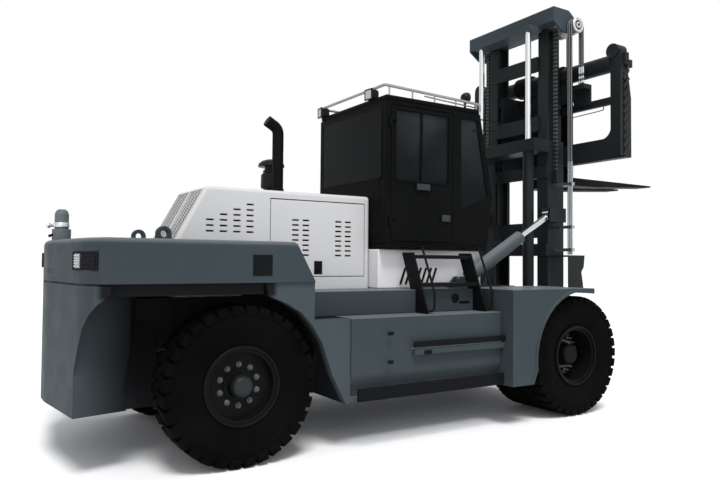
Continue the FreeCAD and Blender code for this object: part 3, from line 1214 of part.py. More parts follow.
os.makedirs("parts", exist_ok=True)
for part in subparts:
    part.Shape.exportStep(f"parts/{part.Label}.step")
    bounds = part.Shape.BoundBox
    print(f"{part.Label:24s} solids {len(part.Shape.Solids)}  volume {part.Shape.Volume / 1e9:.4f} m3  "
          f"x {bounds.XMin:.0f}..{bounds.XMax:.0f}  y {bounds.YMin:.0f}..{bounds.YMax:.0f}  "
          f"z {bounds.ZMin:.0f}..{bounds.ZMax:.0f}")
print(len(subparts), "sub-parts written")
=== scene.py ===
import json
import math

import bmesh
import bpy
from mathutils import Matrix, Vector

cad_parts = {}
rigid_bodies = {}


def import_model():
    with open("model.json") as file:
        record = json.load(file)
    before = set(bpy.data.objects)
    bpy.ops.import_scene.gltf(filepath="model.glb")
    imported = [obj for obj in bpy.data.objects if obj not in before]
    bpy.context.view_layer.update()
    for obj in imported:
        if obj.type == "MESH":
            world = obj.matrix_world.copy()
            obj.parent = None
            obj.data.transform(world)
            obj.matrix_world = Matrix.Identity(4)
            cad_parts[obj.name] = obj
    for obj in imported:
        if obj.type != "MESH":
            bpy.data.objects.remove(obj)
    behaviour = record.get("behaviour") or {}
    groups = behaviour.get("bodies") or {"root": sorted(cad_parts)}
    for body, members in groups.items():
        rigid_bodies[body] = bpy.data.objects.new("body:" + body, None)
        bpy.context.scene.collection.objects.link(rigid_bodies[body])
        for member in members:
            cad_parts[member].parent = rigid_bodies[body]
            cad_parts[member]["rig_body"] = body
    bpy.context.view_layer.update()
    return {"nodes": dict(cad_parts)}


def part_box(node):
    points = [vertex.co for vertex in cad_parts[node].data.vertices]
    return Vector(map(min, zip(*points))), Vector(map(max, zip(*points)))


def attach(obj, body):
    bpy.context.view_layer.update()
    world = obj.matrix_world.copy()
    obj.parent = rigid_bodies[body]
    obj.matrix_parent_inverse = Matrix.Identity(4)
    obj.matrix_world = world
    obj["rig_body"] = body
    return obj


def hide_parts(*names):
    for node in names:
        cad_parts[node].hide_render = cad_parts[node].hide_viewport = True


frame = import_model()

scene = bpy.context.scene
nodes = frame["nodes"]

# ---- Camera
# It stands off the rear right corner at a person's height, level with the deck, and takes in the whole truck. The
# front axle's place along the truck is ax: every length along the truck is counted from there.
def stood(data, name="blank"):
    """An object of this data in the scene."""
    made = bpy.data.objects.new(name, data)
    scene.collection.objects.link(made)
    return made


front_axle = sum(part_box("front_tyres_right"), Vector()) / 2
ax = front_axle.x
lens = bpy.data.cameras.new("viewpoint")
lens.lens = 33.12
lens.sensor_width = 36.0
viewpoint = stood(lens, "viewpoint")
heading, rise, lean = (math.radians(angle) for angle in (32.298, 1.845, 0.477))
ahead = Vector((math.sin(heading) * math.cos(rise), math.cos(heading) * math.cos(rise), math.sin(rise)))
level_right = Vector((math.cos(heading), -math.sin(heading), 0))
level_up = level_right.cross(ahead)
right = math.cos(lean) * level_right + math.sin(lean) * level_up
above = right.cross(ahead)
stand = Vector((ax - 6.232, -6.542, 1.751))
viewpoint.matrix_world = Matrix([(right[i], above[i], -ahead[i], stand[i]) for i in range(3)] + [(0, 0, 0, 1)])
scene.camera = viewpoint

# ---- Floor and backdrop
# A wide studio floor and the sky behind it, both white to the eye, while the floor still takes the truck's shadow. The
# sky lights the truck softly from all sides.
def maths(tree, operation, *values):
    """One step of arithmetic on sockets and numbers."""
    step = tree.nodes.new("ShaderNodeMath")
    step.operation = operation
    for socket, value in zip(step.inputs, values):
        if isinstance(value, bpy.types.NodeSocket):
            tree.links.new(value, socket)
        else:
            socket.default_value = value
    return step.outputs[0]


def clean_white(tree, shader):
    """Shows plain white to the camera, to mirrors and through glass, and the real shader to everything else."""
    add = tree.nodes.new
    path, glow, mixer = add("ShaderNodeLightPath"), add("ShaderNodeEmission"), add("ShaderNodeMixShader")
    glow.inputs["Strength"].default_value = 1.0
    bounced = maths(tree, "MAXIMUM", path.outputs["Is Glossy Ray"], path.outputs["Is Transmission Ray"])
    tree.links.new(maths(tree, "MAXIMUM", path.outputs["Is Camera Ray"], bounced), mixer.inputs[0])
    tree.links.new(shader, mixer.inputs[1])
    tree.links.new(glow.outputs[0], mixer.inputs[2])
    return mixer.outputs[0]


world = bpy.data.worlds.new("studio")
scene.world = world
world.use_nodes = True
tree = world.node_tree
sky = tree.nodes["Background"]
sky.inputs["Color"].default_value = (0.93, 0.95, 1.0, 1)
sky.inputs["Strength"].default_value = 0.58
tree.links.new(clean_white(tree, sky.outputs[0]), tree.nodes["World Output"].inputs["Surface"])

mesh = bpy.data.meshes.new("studio_floor")
edge, level = 40.0, -0.002
mesh.from_pydata([(x * edge, y * edge, level) for x, y in ((-1, -1), (1, -1), (1, 1), (-1, 1))], [], [(0, 1, 2, 3)])
floor = stood(mesh, "studio_floor")
concrete = bpy.data.materials.new("studio_white")
concrete.use_nodes = True
matt = concrete.node_tree.nodes["Principled BSDF"].inputs
matt["Base Color"].default_value = (0.95, 0.95, 0.95, 1)
matt["Roughness"].default_value = 0.9
mesh.materials.append(concrete)

# ---- Lamps
# A high sun-like key and a wider, weaker one that comes in low, both plain white and both from the camera's side. Their
# discs are wide, so that shadows stay soft.
for name, power, width, tilt, turn in (("key", 2.5, 20, 28, -20), ("fill", 0.55, 70, 66, -28)):
    lamp = bpy.data.lights.new(name, "SUN")
    lamp.energy = power
    lamp.angle = math.radians(width)
    stood(lamp, name).rotation_euler = (math.radians(tilt), 0, math.radians(turn))

# ---- Chassis frame
# Two deep rails of thick plate with crossmembers between them, welded up and sprayed satin black. The engine, the axles
# and the steering knuckles are bolted on and have the same dusty black.
def noise(tree, scale, detail):
    """Cloud of grey values fixed to the piece."""
    add = tree.nodes.new
    cloud = add("ShaderNodeTexNoise")
    cloud.inputs["Scale"].default_value = scale
    cloud.inputs["Detail"].default_value = detail
    tree.links.new(add("ShaderNodeTexCoord").outputs["Object"], cloud.inputs["Vector"])
    return cloud.outputs["Fac"]


def spread(tree, value, low, high, to_low, to_high):
    """Stretches a value from one range to another, clamped."""
    ramp = tree.nodes.new("ShaderNodeMapRange")
    for socket, number in zip(list(ramp.inputs)[1:5], (low, high, to_low, to_high)):
        socket.default_value = number
    tree.links.new(value, ramp.inputs[0])
    return ramp.outputs[0]


def blended(tree, share, first, second):
    """Mix of two colours; each is a colour or a socket."""
    mix = tree.nodes.new("ShaderNodeMix")
    mix.data_type = "RGBA"
    tree.links.new(share, mix.inputs[0])
    for socket, tint in ((mix.inputs[6], first), (mix.inputs[7], second)):
        if isinstance(tint, bpy.types.NodeSocket):
            tree.links.new(tint, socket)
        else:
            socket.default_value = (*tint, 1)
    return mix.outputs[2]


def axes(tree):
    """The piece's own x, y and z at each point."""
    split = tree.nodes.new("ShaderNodeSeparateXYZ")
    tree.links.new(tree.nodes.new("ShaderNodeTexCoord").outputs["Object"], split.inputs[0])
    return split.outputs


def coat(name, colour, roughness, clouding=0.10, peel=0.05, rubbed=0.35, grit=170, metal=0.0, dust=0.0, mirror=0.15,
         painted_top_light=None):
    """A surface with slight clouding, uneven gloss, a fine grain, edges rubbed paler and, where asked, faces turned up
    painted paler as painted light.
    """
    material = bpy.data.materials.new(name)
    material.use_nodes = True
    tree = material.node_tree
    add, link = tree.nodes.new, tree.links.new
    skin = tree.nodes["Principled BSDF"]
    skin.inputs["Metallic"].default_value = metal
    skin.inputs["Specular IOR Level"].default_value = mirror
    dark, pale = ([channel * (1 + side * clouding) for channel in colour] for side in (-1, 1))
    tone = blended(tree, spread(tree, noise(tree, 1.7, 6), 0.32, 0.68, 0, 1), dark, pale)
    ease = add("ShaderNodeBevel")
    ease.samples = 4
    ease.inputs["Radius"].default_value = 0.006
    turn = add("ShaderNodeVectorMath")
    turn.operation = "DOT_PRODUCT"
    link(ease.outputs[0], turn.inputs[0])
    link(add("ShaderNodeNewGeometry").outputs["Normal"], turn.inputs[1])
    chips = maths(tree, "MULTIPLY", spread(tree, turn.outputs["Value"], 0.80, 0.97, rubbed, 0),
                  spread(tree, noise(tree, 9, 4), 0.4, 0.6, 0.25, 1))
    tone = blended(tree, chips, tone, [min(1, channel * 1.9 + 0.04) for channel in colour])
    if dust:
        veil = maths(tree, "MULTIPLY", spread(tree, axes(tree)[2], 0.0, 1.6, dust, 0),
                     spread(tree, noise(tree, 5, 6), 0.35, 0.7, 0.2, 1))
        tone = blended(tree, veil, tone, (0.21, 0.20, 0.185))
    # Painted light: faces that turn up are blended towards a paler colour, as if lit from above.
    if painted_top_light:
        facing = add("ShaderNodeSeparateXYZ")
        link(ease.outputs[0], facing.inputs[0])
        tone = blended(tree, spread(tree, facing.outputs[2], 0.25, 0.95, 0, 1), tone, painted_top_light)
    link(tone, skin.inputs["Base Color"])
    link(spread(tree, noise(tree, 6, 5), 0.3, 0.7, roughness - 0.05, roughness + 0.07), skin.inputs["Roughness"])
    bump = add("ShaderNodeBump")
    bump.inputs["Strength"].default_value = peel
    bump.inputs["Distance"].default_value = 0.002
    link(noise(tree, grit, 3), bump.inputs["Height"])
    link(ease.outputs[0], bump.inputs["Normal"])
    link(bump.outputs[0], skin.inputs["Normal"])
    return material


def finish(material, *names):
    """Gives CAD nodes their finish."""
    for name in names:
        for place in nodes[name].material_slots:
            place.material = material


def taken(blank):
    """The mesh that a helper object ends up with; the object is thrown away."""
    mesh = bpy.data.meshes.new_from_object(blank.evaluated_get(bpy.context.evaluated_depsgraph_get()))
    bpy.data.objects.remove(blank)
    return mesh


def worked(mesh, kind, **settings):
    """The mesh after one modifier."""
    blank = stood(mesh)
    step = blank.modifiers.new(kind, kind)
    for key, value in settings.items():
        setattr(step, key, value)
    return taken(blank)


def eased(mesh, radius, segments=2, angle=40):
    """The mesh with its sharp edges rounded."""
    return worked(mesh, "BEVEL", width=radius, segments=segments, limit_method="ANGLE",
                  angle_limit=math.radians(angle), use_clamp_overlap=True)


def piece(name, mesh, material, body):
    """A finished mesh as a piece that rides on a body."""
    mesh.materials.clear()
    mesh.materials.append(material)
    mesh.polygons.foreach_set("material_index", [0] * len(mesh.polygons))
    mesh.shade_smooth()
    mesh.set_sharp_from_angle(angle=math.radians(38))
    made = stood(worked(mesh, "WEIGHTED_NORMAL", keep_sharp=True, weight=90), name)
    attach(made, body)
    return made


def meshed(shape, outward=False):
    """A shape in the making as a mesh, with its faces turned outward where asked."""
    if outward:
        bmesh.ops.recalc_face_normals(shape, faces=shape.faces)
    mesh = bpy.data.meshes.new("part")
    shape.to_mesh(mesh)
    shape.free()
    return mesh


def joined_up(node):
    """A copy of a CAD node's mesh with its triangles merged into whole faces."""
    shape = bmesh.new()
    shape.from_mesh(nodes[node].data)
    bmesh.ops.remove_doubles(shape, verts=shape.verts, dist=0.00005)
    bmesh.ops.dissolve_limit(shape, angle_limit=math.radians(0.6), verts=shape.verts, edges=shape.edges)
    return meshed(shape)


def dressed(node, radius, material):
    """A CAD node again, with its faces joined up and its edges rounded, as plate and castings have them."""
    made = piece(node + "_finished", eased(joined_up(node), radius), material, nodes[node]["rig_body"])
    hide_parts(node)
    return made


black_paint = coat("satin_black_paint", (0.0062, 0.0068, 0.0072), 0.42, mirror=0.04)
frame_black = coat("chassis_black", (0.006, 0.006, 0.0065), 0.5, dust=0.10, mirror=0.08)
finish(frame_black, "chassis_frame", "engine_block", "drive_axle", "steer_axle", "knuckle_right", "knuckle_left")

# ---- Decks, side tanks and front fenders
# Bent and welded plate in the body colour. A turned-out edge follows the arch of each front fender, from its top down
# to the foot of its rear.
def merged(*parts):
    """Several meshes as one."""
    shape = bmesh.new()
    for part in parts:
        shape.from_mesh(part)
    return meshed(shape)


def placed(mesh, matrix):
    """The mesh, moved and turned; a mirrored one has its faces turned outward again."""
    mesh.transform(matrix)
    if matrix.determinant() < 0:
        mesh.flip_normals()
    return mesh


def across(mesh):
    """The mesh and its mirror image on the truck's other side."""
    return merged(mesh, placed(mesh.copy(), Matrix.Scale(-1, 4, (0, 1, 0))))


def extruded(outline, low, high, start=ax):
    """A plate of this side-view outline, counted from a start, between two distances from the truck's middle."""
    shape = bmesh.new()
    near, far = ([shape.verts.new((start + x, y, z)) for x, z in outline] for y in (low, high))
    shape.faces.new(near)
    shape.faces.new(far[::-1])
    for i in range(len(outline)):
        j = (i + 1) % len(outline)
        shape.faces.new((near[j], near[i], far[i], far[j]))
    return meshed(shape, outward=True)


# The body paint takes painted light on its upward faces: a paler blue-grey on tops and upper edges.
body_paint = coat("blue_grey_paint", (0.040, 0.052, 0.058), 0.38, clouding=0.04, rubbed=0.15, dust=0.05, mirror=0.02,
                  painted_top_light=(0.13, 0.145, 0.15))
for node, radius in (("side_decks", 0.008), ("side_tanks", 0.010), ("front_fenders", 0.012)):
    dressed(node, radius, body_paint)
axle_height, fender_foot = 0.685, 0.441
sweep = [math.radians(90 + 97.2 * i / 24) for i in range(25)]
arch, lip = ([(radius * math.cos(turn), axle_height + radius * math.sin(turn)) for turn in sweep]
             + [(-reach, fender_foot)] for radius, reach in ((0.742, 0.802), (0.774, 0.838)))
lips = eased(extruded(lip + arch[::-1], -1.489, -1.470), 0.004)
piece("fender_lips", across(lips), body_paint, "chassis")

# ---- Counterweight
# Two iron castings stacked with a groove between them, and mudguards of plate that go on from the lower one, with
# painted shade inside their arches. Each rear corner has a pocket with a ribbed tail lamp in a black frame, each side a
# blank plate.
def block(low, high):
    """A bar or plate between two corners."""
    shape = bmesh.new()
    bmesh.ops.create_cube(shape, size=1)
    for corner in shape.verts:
        corner.co = [a + (c + 0.5) * (b - a) for a, b, c in zip(low, high, corner.co)]
    return meshed(shape)


def carved(mesh, tool):
    """The mesh with a tool's shape cut out of it."""
    knife = stood(tool)
    result = worked(mesh, "BOOLEAN", operation="DIFFERENCE", solver="EXACT", object=knife)
    bpy.data.objects.remove(knife)
    return result


def opened(material):
    """A coat's node tree, its colour socket and the colour that feeds it."""
    tree = material.node_tree
    socket = tree.nodes["Principled BSDF"].inputs["Base Color"]
    return tree, socket, socket.links[0].from_socket


lamp_middle, lamp_turn = (ax - 5.292, -1.090, 1.737), math.atan2(-0.330, 0.125)
lamp_frame = Matrix.Translation(lamp_middle) @ Matrix.Rotation(lamp_turn, 4, "Z")
pocket = placed(eased(block((-0.178, -0.20, -0.074), (0.178, 0.032, 0.074)), 0.008), lamp_frame)
slab = carved(joined_up("counterweight_slab"), across(pocket))
made = piece("counterweight_slab_finished", eased(slab, 0.006, angle=50), body_paint, "chassis")
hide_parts("counterweight_slab")
# The lower casting and the mudguards: a paler copy of the body paint as painted light, with painted shade that darkens
# their inner faces towards the front and a band above the rear wheel under the slab.
lit_and_shaded_arch_paint = coat("paler_paint_with_painted_shade", (0.051, 0.065, 0.071), 0.40, clouding=0.04, rubbed=0.15, dust=0.05, mirror=0.02)
tree, colour, tone = opened(lit_and_shaded_arch_paint)
x, y, z = axes(tree)
arch_shade_colour = (0.010, 0.011, 0.012)
inside = blended(tree, spread(tree, x, ax - 5.30, ax - 4.90, 0.15, 1), tone, arch_shade_colour)
tone = blended(tree, spread(tree, maths(tree, "ABSOLUTE", y), 1.18, 1.23, 1, 0), tone, inside)
shade_band_over_wheel = blended(tree, spread(tree, x, ax - 5.24, ax - 5.20, 0, 1), (0, 0, 0),
                     spread(tree, x, ax - 3.79, ax - 3.74, 1, 0))
tone = blended(tree, spread(tree, z, 1.42, 1.46, 0, 1), tone, blended(tree, shade_band_over_wheel, tone, arch_shade_colour))
tree.links.new(tone, colour)
dressed("counterweight_base", 0.010, lit_and_shaded_arch_paint)
dressed("rear_mudguards", 0.016, lit_and_shaded_arch_paint)
# The arch's inner wall plates: a dark grey with painted shade, darker towards the front and towards the top.
shaded_tail_paint = coat("shaded_tail_paint", (0.050, 0.056, 0.060), 0.6, mirror=0.02)
tree, colour, tone = opened(shaded_tail_paint)
x, y, z = axes(tree)
for way, low, high in ((x, ax - 5.05, ax - 4.72), (z, 0.55, 1.05)):
    tone = blended(tree, spread(tree, way, low, high, 0.1, 0.85), tone, (0.010, 0.010, 0.0105))
tree.links.new(tone, colour)
tails = eased(block((ax - 4.99, -0.476, 0.43), (ax - 4.56, -0.464, 1.2)), 0.003)
piece("tail_plates", across(tails), shaded_tail_paint, "chassis")

frame_ring = carved(eased(block((-0.177, -0.006, -0.073), (0.177, 0.030, 0.073)), 0.005),
                    block((-0.160, -0.05, -0.058), (0.160, 0.022, 0.058)))
piece("tail_lamp_frames", across(placed(frame_ring, lamp_frame)), black_paint, "chassis")
clear_lens = coat("clear_ribbed_lens", (0.50, 0.52, 0.53), 0.18, rubbed=0, peel=0.02)
dark_lens = coat("smoked_lens", (0.006, 0.006, 0.008), 0.3, rubbed=0, peel=0.02, mirror=0.05)
rib_pitch = 0.0102
for name, lens_paint, low, high in (("tail_lamp_clear_lenses", clear_lens, -0.150, -0.072),
                                    ("tail_lamp_smoked_lenses", dark_lens, -0.066, 0.154)):
    ribs = [eased(block((low, -0.010 if i % 2 else -0.004, -0.056 + i * rib_pitch),
                        (high, 0.02, -0.047 + i * rib_pitch)), 0.002) for i in range(11)]
    piece(name, across(placed(merged(*ribs), lamp_frame)), lens_paint, "chassis")
plate = eased(block((ax - 3.99, -1.306, 1.62), (ax - 3.81, -1.297, 1.80)), 0.003)
piece("blank_plates", across(plate), black_paint, "chassis")
bend_at = 0.1
tail_face = (Matrix.Translation((ax - 5.4395, -bend_at, 0)) @ Matrix.Rotation(math.radians(7.4), 4, "Z")
             @ Matrix.Translation((0, bend_at, 0)))
# Two black bars on each side of the rear face stand for slots: painted shade.
slot_shade_bars = [placed(eased(block((-0.002, -0.30, low), (0.02, -0.13, low + 0.010)), 0.002), tail_face)
         for low in (1.630, 1.655)]
piece("rear_slots", across(merged(*slot_shade_bars)), black_paint, "chassis")

# ---- Lifting lugs
# Two flame-cut eyes of thick plate, welded to the slab behind the hood and painted with it, by which the counterweight
# is lifted off.
dressed("lifting_lugs", 0.006, body_paint)

# ---- Tow pin
# A turned steel pin in a collar, held by a clamp with a bright band, a knob and a lever. It drops through the rear of
# the slab to take a drawbar.
def turned(profile, centre, axis="Z", steps=48, ring=False):
    """A turned part: points of (radius, distance along the axis) swept round."""
    shape = bmesh.new()
    rows = []
    for radius, along in profile:
        row = []
        for i in range(steps if radius else 1):
            a, b = radius * math.cos(math.tau * i / steps), radius * math.sin(math.tau * i / steps)
            place = {"X": (along, a, b), "Y": (a, along, b), "Z": (a, b, along)}[axis]
            row.append(shape.verts.new(Vector(place) + Vector(centre)))
        rows.append(row)
    for low, high in zip(rows, rows[1:] + (rows[:1] if ring else [])):
        for i in range(steps):
            j = (i + 1) % steps
            corners = [low[i % len(low)], low[j % len(low)], high[j % len(high)], high[i % len(high)]]
            corners = list(dict.fromkeys(corners))
            if len(corners) > 2:
                shape.faces.new(corners)
    return meshed(shape, outward=True)


cast_grey = coat("cast_grey", (0.095, 0.11, 0.115), 0.5, clouding=0.3, rubbed=0.5)
finish(cast_grey, "tow_pin")
bright = coat("bright_steel", (0.60, 0.61, 0.62), 0.28, rubbed=0.1, metal=1.0)
pin = ax - 5.31
band = turned([(0.058, 2.036), (0.066, 2.038), (0.068, 2.046), (0.068, 2.072), (0.066, 2.080), (0.058, 2.082)],
              (pin, 0, 0), ring=True)
knob = turned([(0, -0.128), (0.021, -0.126), (0.024, -0.118), (0.024, -0.104), (0.013, -0.088), (0.012, -0.06),
               (0, -0.055)], (pin, -0.01, 2.052), "X", 24)
piece("tow_pin_clamp", merged(band, knob), bright, "chassis")
lever = placed(eased(block((-0.125, -0.013, -0.012), (0.0, 0.013, 0.012)), 0.006),
               Matrix.Translation((pin + 0.005, -0.02, 2.0)) @ Matrix.Rotation(math.radians(-22), 4, "Y"))
piece("tow_pin_lever", lever, black_paint, "chassis")

# ---- Engine hood
# A welded sheet cover with rounded edges, rows of air slots with a black sheet behind the side rows as painted shade,
# and two grilles of wavy steel strips in its sloping rear. Its side doors hang on hinges at the top and have a recessed
# latch.
def repeater():
    """A node tree that sets a part out in a row or around a centre."""
    tree = bpy.data.node_groups.new("repeater", "GeometryNodeTree")
    kinds = {"Geometry": "NodeSocketGeometry", "Count": "NodeSocketInt", "First": "NodeSocketVector",
             "Step": "NodeSocketVector", "Turn": "NodeSocketVector", "Finish": "NodeSocketMaterial"}
    for label, kind in kinds.items():
        tree.interface.new_socket(label, in_out="INPUT", socket_type=kind)
    tree.interface.new_socket("Geometry", in_out="OUTPUT", socket_type="NodeSocketGeometry")
    add, link = tree.nodes.new, tree.links.new
    given, result, row = add("NodeGroupInput"), add("NodeGroupOutput"), add("GeometryNodeMeshLine")
    number, scaled, angle = (add(kind) for kind in
                             ("GeometryNodeInputIndex", "ShaderNodeVectorMath", "FunctionNodeEulerToRotation"))
    scatter, real, colour = (add("GeometryNode" + kind) for kind in
                             ("InstanceOnPoints", "RealizeInstances", "SetMaterial"))
    scaled.operation = "SCALE"
    link(given.outputs["Count"], row.inputs["Count"])
    link(given.outputs["First"], row.inputs["Start Location"])
    link(given.outputs["Step"], row.inputs["Offset"])
    link(given.outputs["Turn"], scaled.inputs[0])
    link(number.outputs[0], scaled.inputs["Scale"])
    link(scaled.outputs[0], angle.inputs[0])
    link(row.outputs[0], scatter.inputs["Points"])
    link(given.outputs["Geometry"], scatter.inputs["Instance"])
    link(angle.outputs[0], scatter.inputs["Rotation"])
    link(scatter.outputs[0], real.inputs[0])
    link(real.outputs[0], colour.inputs[0])
    link(given.outputs["Finish"], colour.inputs["Material"])
    link(colour.outputs[0], result.inputs[0])
    return tree


row_of = repeater()


def repeated(mesh, material, count, first=(0, 0, 0), step=(0, 0, 0), turn=(0, 0, 0)):
    """Copies of a mesh, set out in a row and turned one after another."""
    blank = stood(mesh)
    layer = blank.modifiers.new("row", "NODES")
    given = {"Count": count, "First": first, "Step": step, "Turn": turn, "Finish": material}
    layer.node_group = row_of
    for item in row_of.interface.items_tree:
        if item.in_out == "INPUT" and item.name in given:
            layer[item.identifier] = given[item.name]
    return taken(blank)


hood_white = coat("hood_white", (0.555, 0.555, 0.555), 0.34, clouding=0.02, rubbed=0.0, peel=0.03, mirror=0.06)
hood_side = [(-4.42, 1.40), (-4.42, 1.90), (-4.11, 2.463), (-2.25, 2.463), (-2.25, 1.40)]
hood_room = [(-4.385, 1.30), (-4.385, 1.89), (-4.09, 2.43), (-2.20, 2.43), (-2.20, 1.30)]
hood_half, room_half = 0.44, 0.408
hood_shell = worked(extruded(hood_side, -hood_half, hood_half), "BEVEL", width=0.038, segments=4,
                    limit_method="ANGLE", angle_limit=math.radians(20))
slot = eased(block((-0.039, -0.05, -0.0085), (0.039, 0.05, 0.0085)), 0.006)
cutters = [extruded(hood_room, -room_half, room_half)]
column_gap, slot_gap, door_slot_gap = 0.1367, 0.0547, 0.0514
for side in (-1, 1):
    wall = side * hood_half
    cutters.append(block((ax - 3.445, wall - 0.06, 1.585), (ax - 2.315, wall + 0.06, 2.382)))
    for column, count in enumerate((3, 4, 5, 6)):
        first = (ax - 4.07 + column * column_gap, side * 0.43, 2.03)
        cutters.append(repeated(slot.copy(), None, count, first, (0, 0, slot_gap)))
slope = math.atan2(0.563, 0.31)
along_slope = Matrix.Translation((ax - 4.42, 0, 1.90)) @ Matrix.Rotation(-slope, 4, "Y")
grille_from, grille_to = 0.018, 0.385
for side in (-1, 1):
    low, high = sorted((side * grille_from, side * grille_to))
    cutters.append(placed(block((0.035, low, -0.1), (0.61, high, 0.1)), along_slope))
for tool in cutters:
    hood_shell = carved(hood_shell, tool)
made = piece("hood_shell", hood_shell, hood_white, "chassis")
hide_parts("engine_hood")
# A black sheet inside the hood behind the side slots: painted shade for the dark engine bay.
slot_shade_sheet = extruded([(-4.29, 1.95), (-4.10, 2.38), (-3.46, 2.38), (-3.46, 1.95)], -0.395, -0.380)
piece("hood_slot_shade_sheets", across(slot_shade_sheet), black_paint, "chassis")
for name in ("hood_door_right", "hood_door_left"):
    side = -1 if name.endswith("right") else 1
    body = nodes[name]["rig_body"]
    panel = eased(block((ax - 3.438, side * 0.433 - 0.008, 1.592), (ax - 2.322, side * 0.433 + 0.008, 2.372)), 0.005)
    for column in (-3.16, -3.04, -2.65, -2.53):
        first = (ax + column, side * hood_half, 1.81)
        panel = carved(panel, repeated(slot.copy(), None, 8, first, (0, 0, door_slot_gap)))
    panel = carved(panel, block((ax - 2.94, side * 0.453 - 0.04, 1.61), (ax - 2.84, side * 0.453 + 0.04, 1.75)))
    made = piece(name + "_finished", panel, hood_white, body)
    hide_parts(name)
    cup = eased(block((ax - 2.941, side * 0.428 - 0.006, 1.609), (ax - 2.839, side * 0.428 + 0.006, 1.751)), 0.003)
    paddle = eased(block((ax - 2.925, side * 0.436 - 0.006, 1.65), (ax - 2.855, side * 0.436 + 0.006, 1.735)), 0.005)
    piece(name.replace("door", "latch"), merged(cup, paddle), black_paint, body)

strip_steel = coat("galvanised_strip", (0.48, 0.48, 0.47), 0.45, clouding=0.2, rubbed=0.2, metal=0.6)
shape = bmesh.new()
bends, bend_length, bend_height, bends_a_wave = 28, 0.0131, 0.010, 7
rows = [[shape.verts.new((bend_height * math.sin(math.tau * i / bends_a_wave) + along, bend_length * i, up))
         for i in range(bends + 1)] for along, up in ((0, 0), (0.017, 0.010), (0.019, 0.007), (0.002, -0.003))]
for low, high in zip(rows, rows[1:] + rows[:1]):
    for i in range(bends):
        shape.faces.new((low[i], low[i + 1], high[i + 1], high[i]))
for end in (0, bends):
    shape.faces.new([row[end] for row in rows])
strip, count, strip_gap = meshed(shape, outward=True), 22, 0.026
strips = [placed(repeated(strip.copy(), strip_steel, count, (0.045, low, -0.012), (strip_gap, 0, 0)), along_slope)
          for low in (-grille_to, grille_from)]
piece("hood_grilles", merged(*strips), strip_steel, "chassis")

# ---- Exhaust
# A stack of steel tube in black heat-proof paint that rises through the hood and bends rearward at its mouth. A pressed
# collar closes the hole in the hood.
heat_black = coat("heat_proof_black", (0.005, 0.005, 0.0055), 0.50, clouding=0.25, mirror=0.04)
finish(heat_black, "exhaust_stack")
foot = turned([(0.060, 2.455), (0.092, 2.462), (0.092, 2.474), (0.070, 2.478), (0.066, 2.52), (0.060, 2.52)],
              (ax - 3.21, -0.10, 0), ring=True)
piece("exhaust_collar", foot, heat_black, "chassis")

# ---- Air cleaner
# A moulded bowl and ribbed neck under a mushroom cap that keeps the rain out, clamped to a pipe beside the exhaust. It
# is turned in one piece here.
cleaner_black = coat("moulded_black", (0.008, 0.0085, 0.009), 0.38, mirror=0.12)
cap = [(0, 2.868), (0.05, 2.864), (0.10, 2.848), (0.135, 2.822), (0.146, 2.795), (0.144, 2.782), (0.125, 2.778),
       (0.075, 2.780), (0.072, 2.752), (0.088, 2.744), (0.092, 2.730), (0.088, 2.716), (0.100, 2.706), (0.112, 2.690),
       (0.114, 2.560), (0.108, 2.545), (0.080, 2.535), (0.062, 2.525), (0.062, 2.464), (0, 2.464)]
made = piece("air_cleaner_finished", turned(cap, (ax - 3.17, 0.15, 0)), cleaner_black, "chassis")
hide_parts("air_cleaner")

# ---- Tyres
# Moulded rubber with heavy shoulder lugs set alternately on the two sides, a thin raised ring on the side wall and a
# bead that sits against the rim's flange.
rubber = coat("tyre_rubber", (0.0028, 0.0028, 0.0029), 0.6, clouding=0.3, rubbed=0.05, peel=0.2, grit=60, dust=0.01,
              mirror=0.01)
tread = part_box("rear_tyre_right")[1].z / 2
tyre_half, rear_lugs, front_lugs = 0.1875, 32, 34


def lugged_tyre(centre, half, lugs):
    """A tyre about a wheel's centre."""
    wall = [(0.335, half - 0.045), (0.375, half - 0.030), (0.43, half - 0.010), (0.515, half), (0.540, half - 0.001),
            (0.545, half + 0.003), (0.551, half + 0.003), (0.556, half - 0.002), (0.60, half - 0.008),
            (tread - 0.045, half - 0.020), (tread - 0.030, half - 0.045), (tread - 0.022, half * 0.5),
            (tread - 0.021, 0)]
    profile = wall + [(radius, -along) for radius, along in reversed(wall[:-1])]
    carcass = turned(profile, (0, 0, 0), "Y", 96, ring=True)
    lug_line = [(tread, half * 0.06, 0.22), (tread, half - 0.030, 0), (tread - 0.014, half - 0.004, 0),
                (tread - 0.075, half + 0.004, 0), (tread - 0.085, half - 0.012, 0), (tread - 0.050, half - 0.05, 0),
                (tread - 0.030, half * 0.06, 0.22)]
    count, thick = len(lug_line), math.tau / lugs * 0.74
    shape = bmesh.new()
    verts = []
    for share in (-0.5, 0.5):
        for radius, along, slew in lug_line:
            angle = thick * (share + slew)
            verts.append(shape.verts.new((radius * math.sin(angle), along, radius * math.cos(angle))))
    shape.faces.new(verts[:count])
    shape.faces.new(verts[count:])
    for i in range(count):
        j = (i + 1) % count
        shape.faces.new((verts[i], verts[j], verts[count + j], verts[count + i]))
    lug = eased(meshed(shape, outward=True), 0.005, segments=1, angle=30)
    other = placed(lug.copy(), Matrix.Rotation(math.pi / lugs, 4, "Y") @ Matrix.Scale(-1, 4, (0, 1, 0)))
    blocks = repeated(merged(lug, other), rubber, lugs, turn=(0, math.tau / lugs, 0))
    return placed(merged(carcass, blocks), Matrix.Translation(centre))


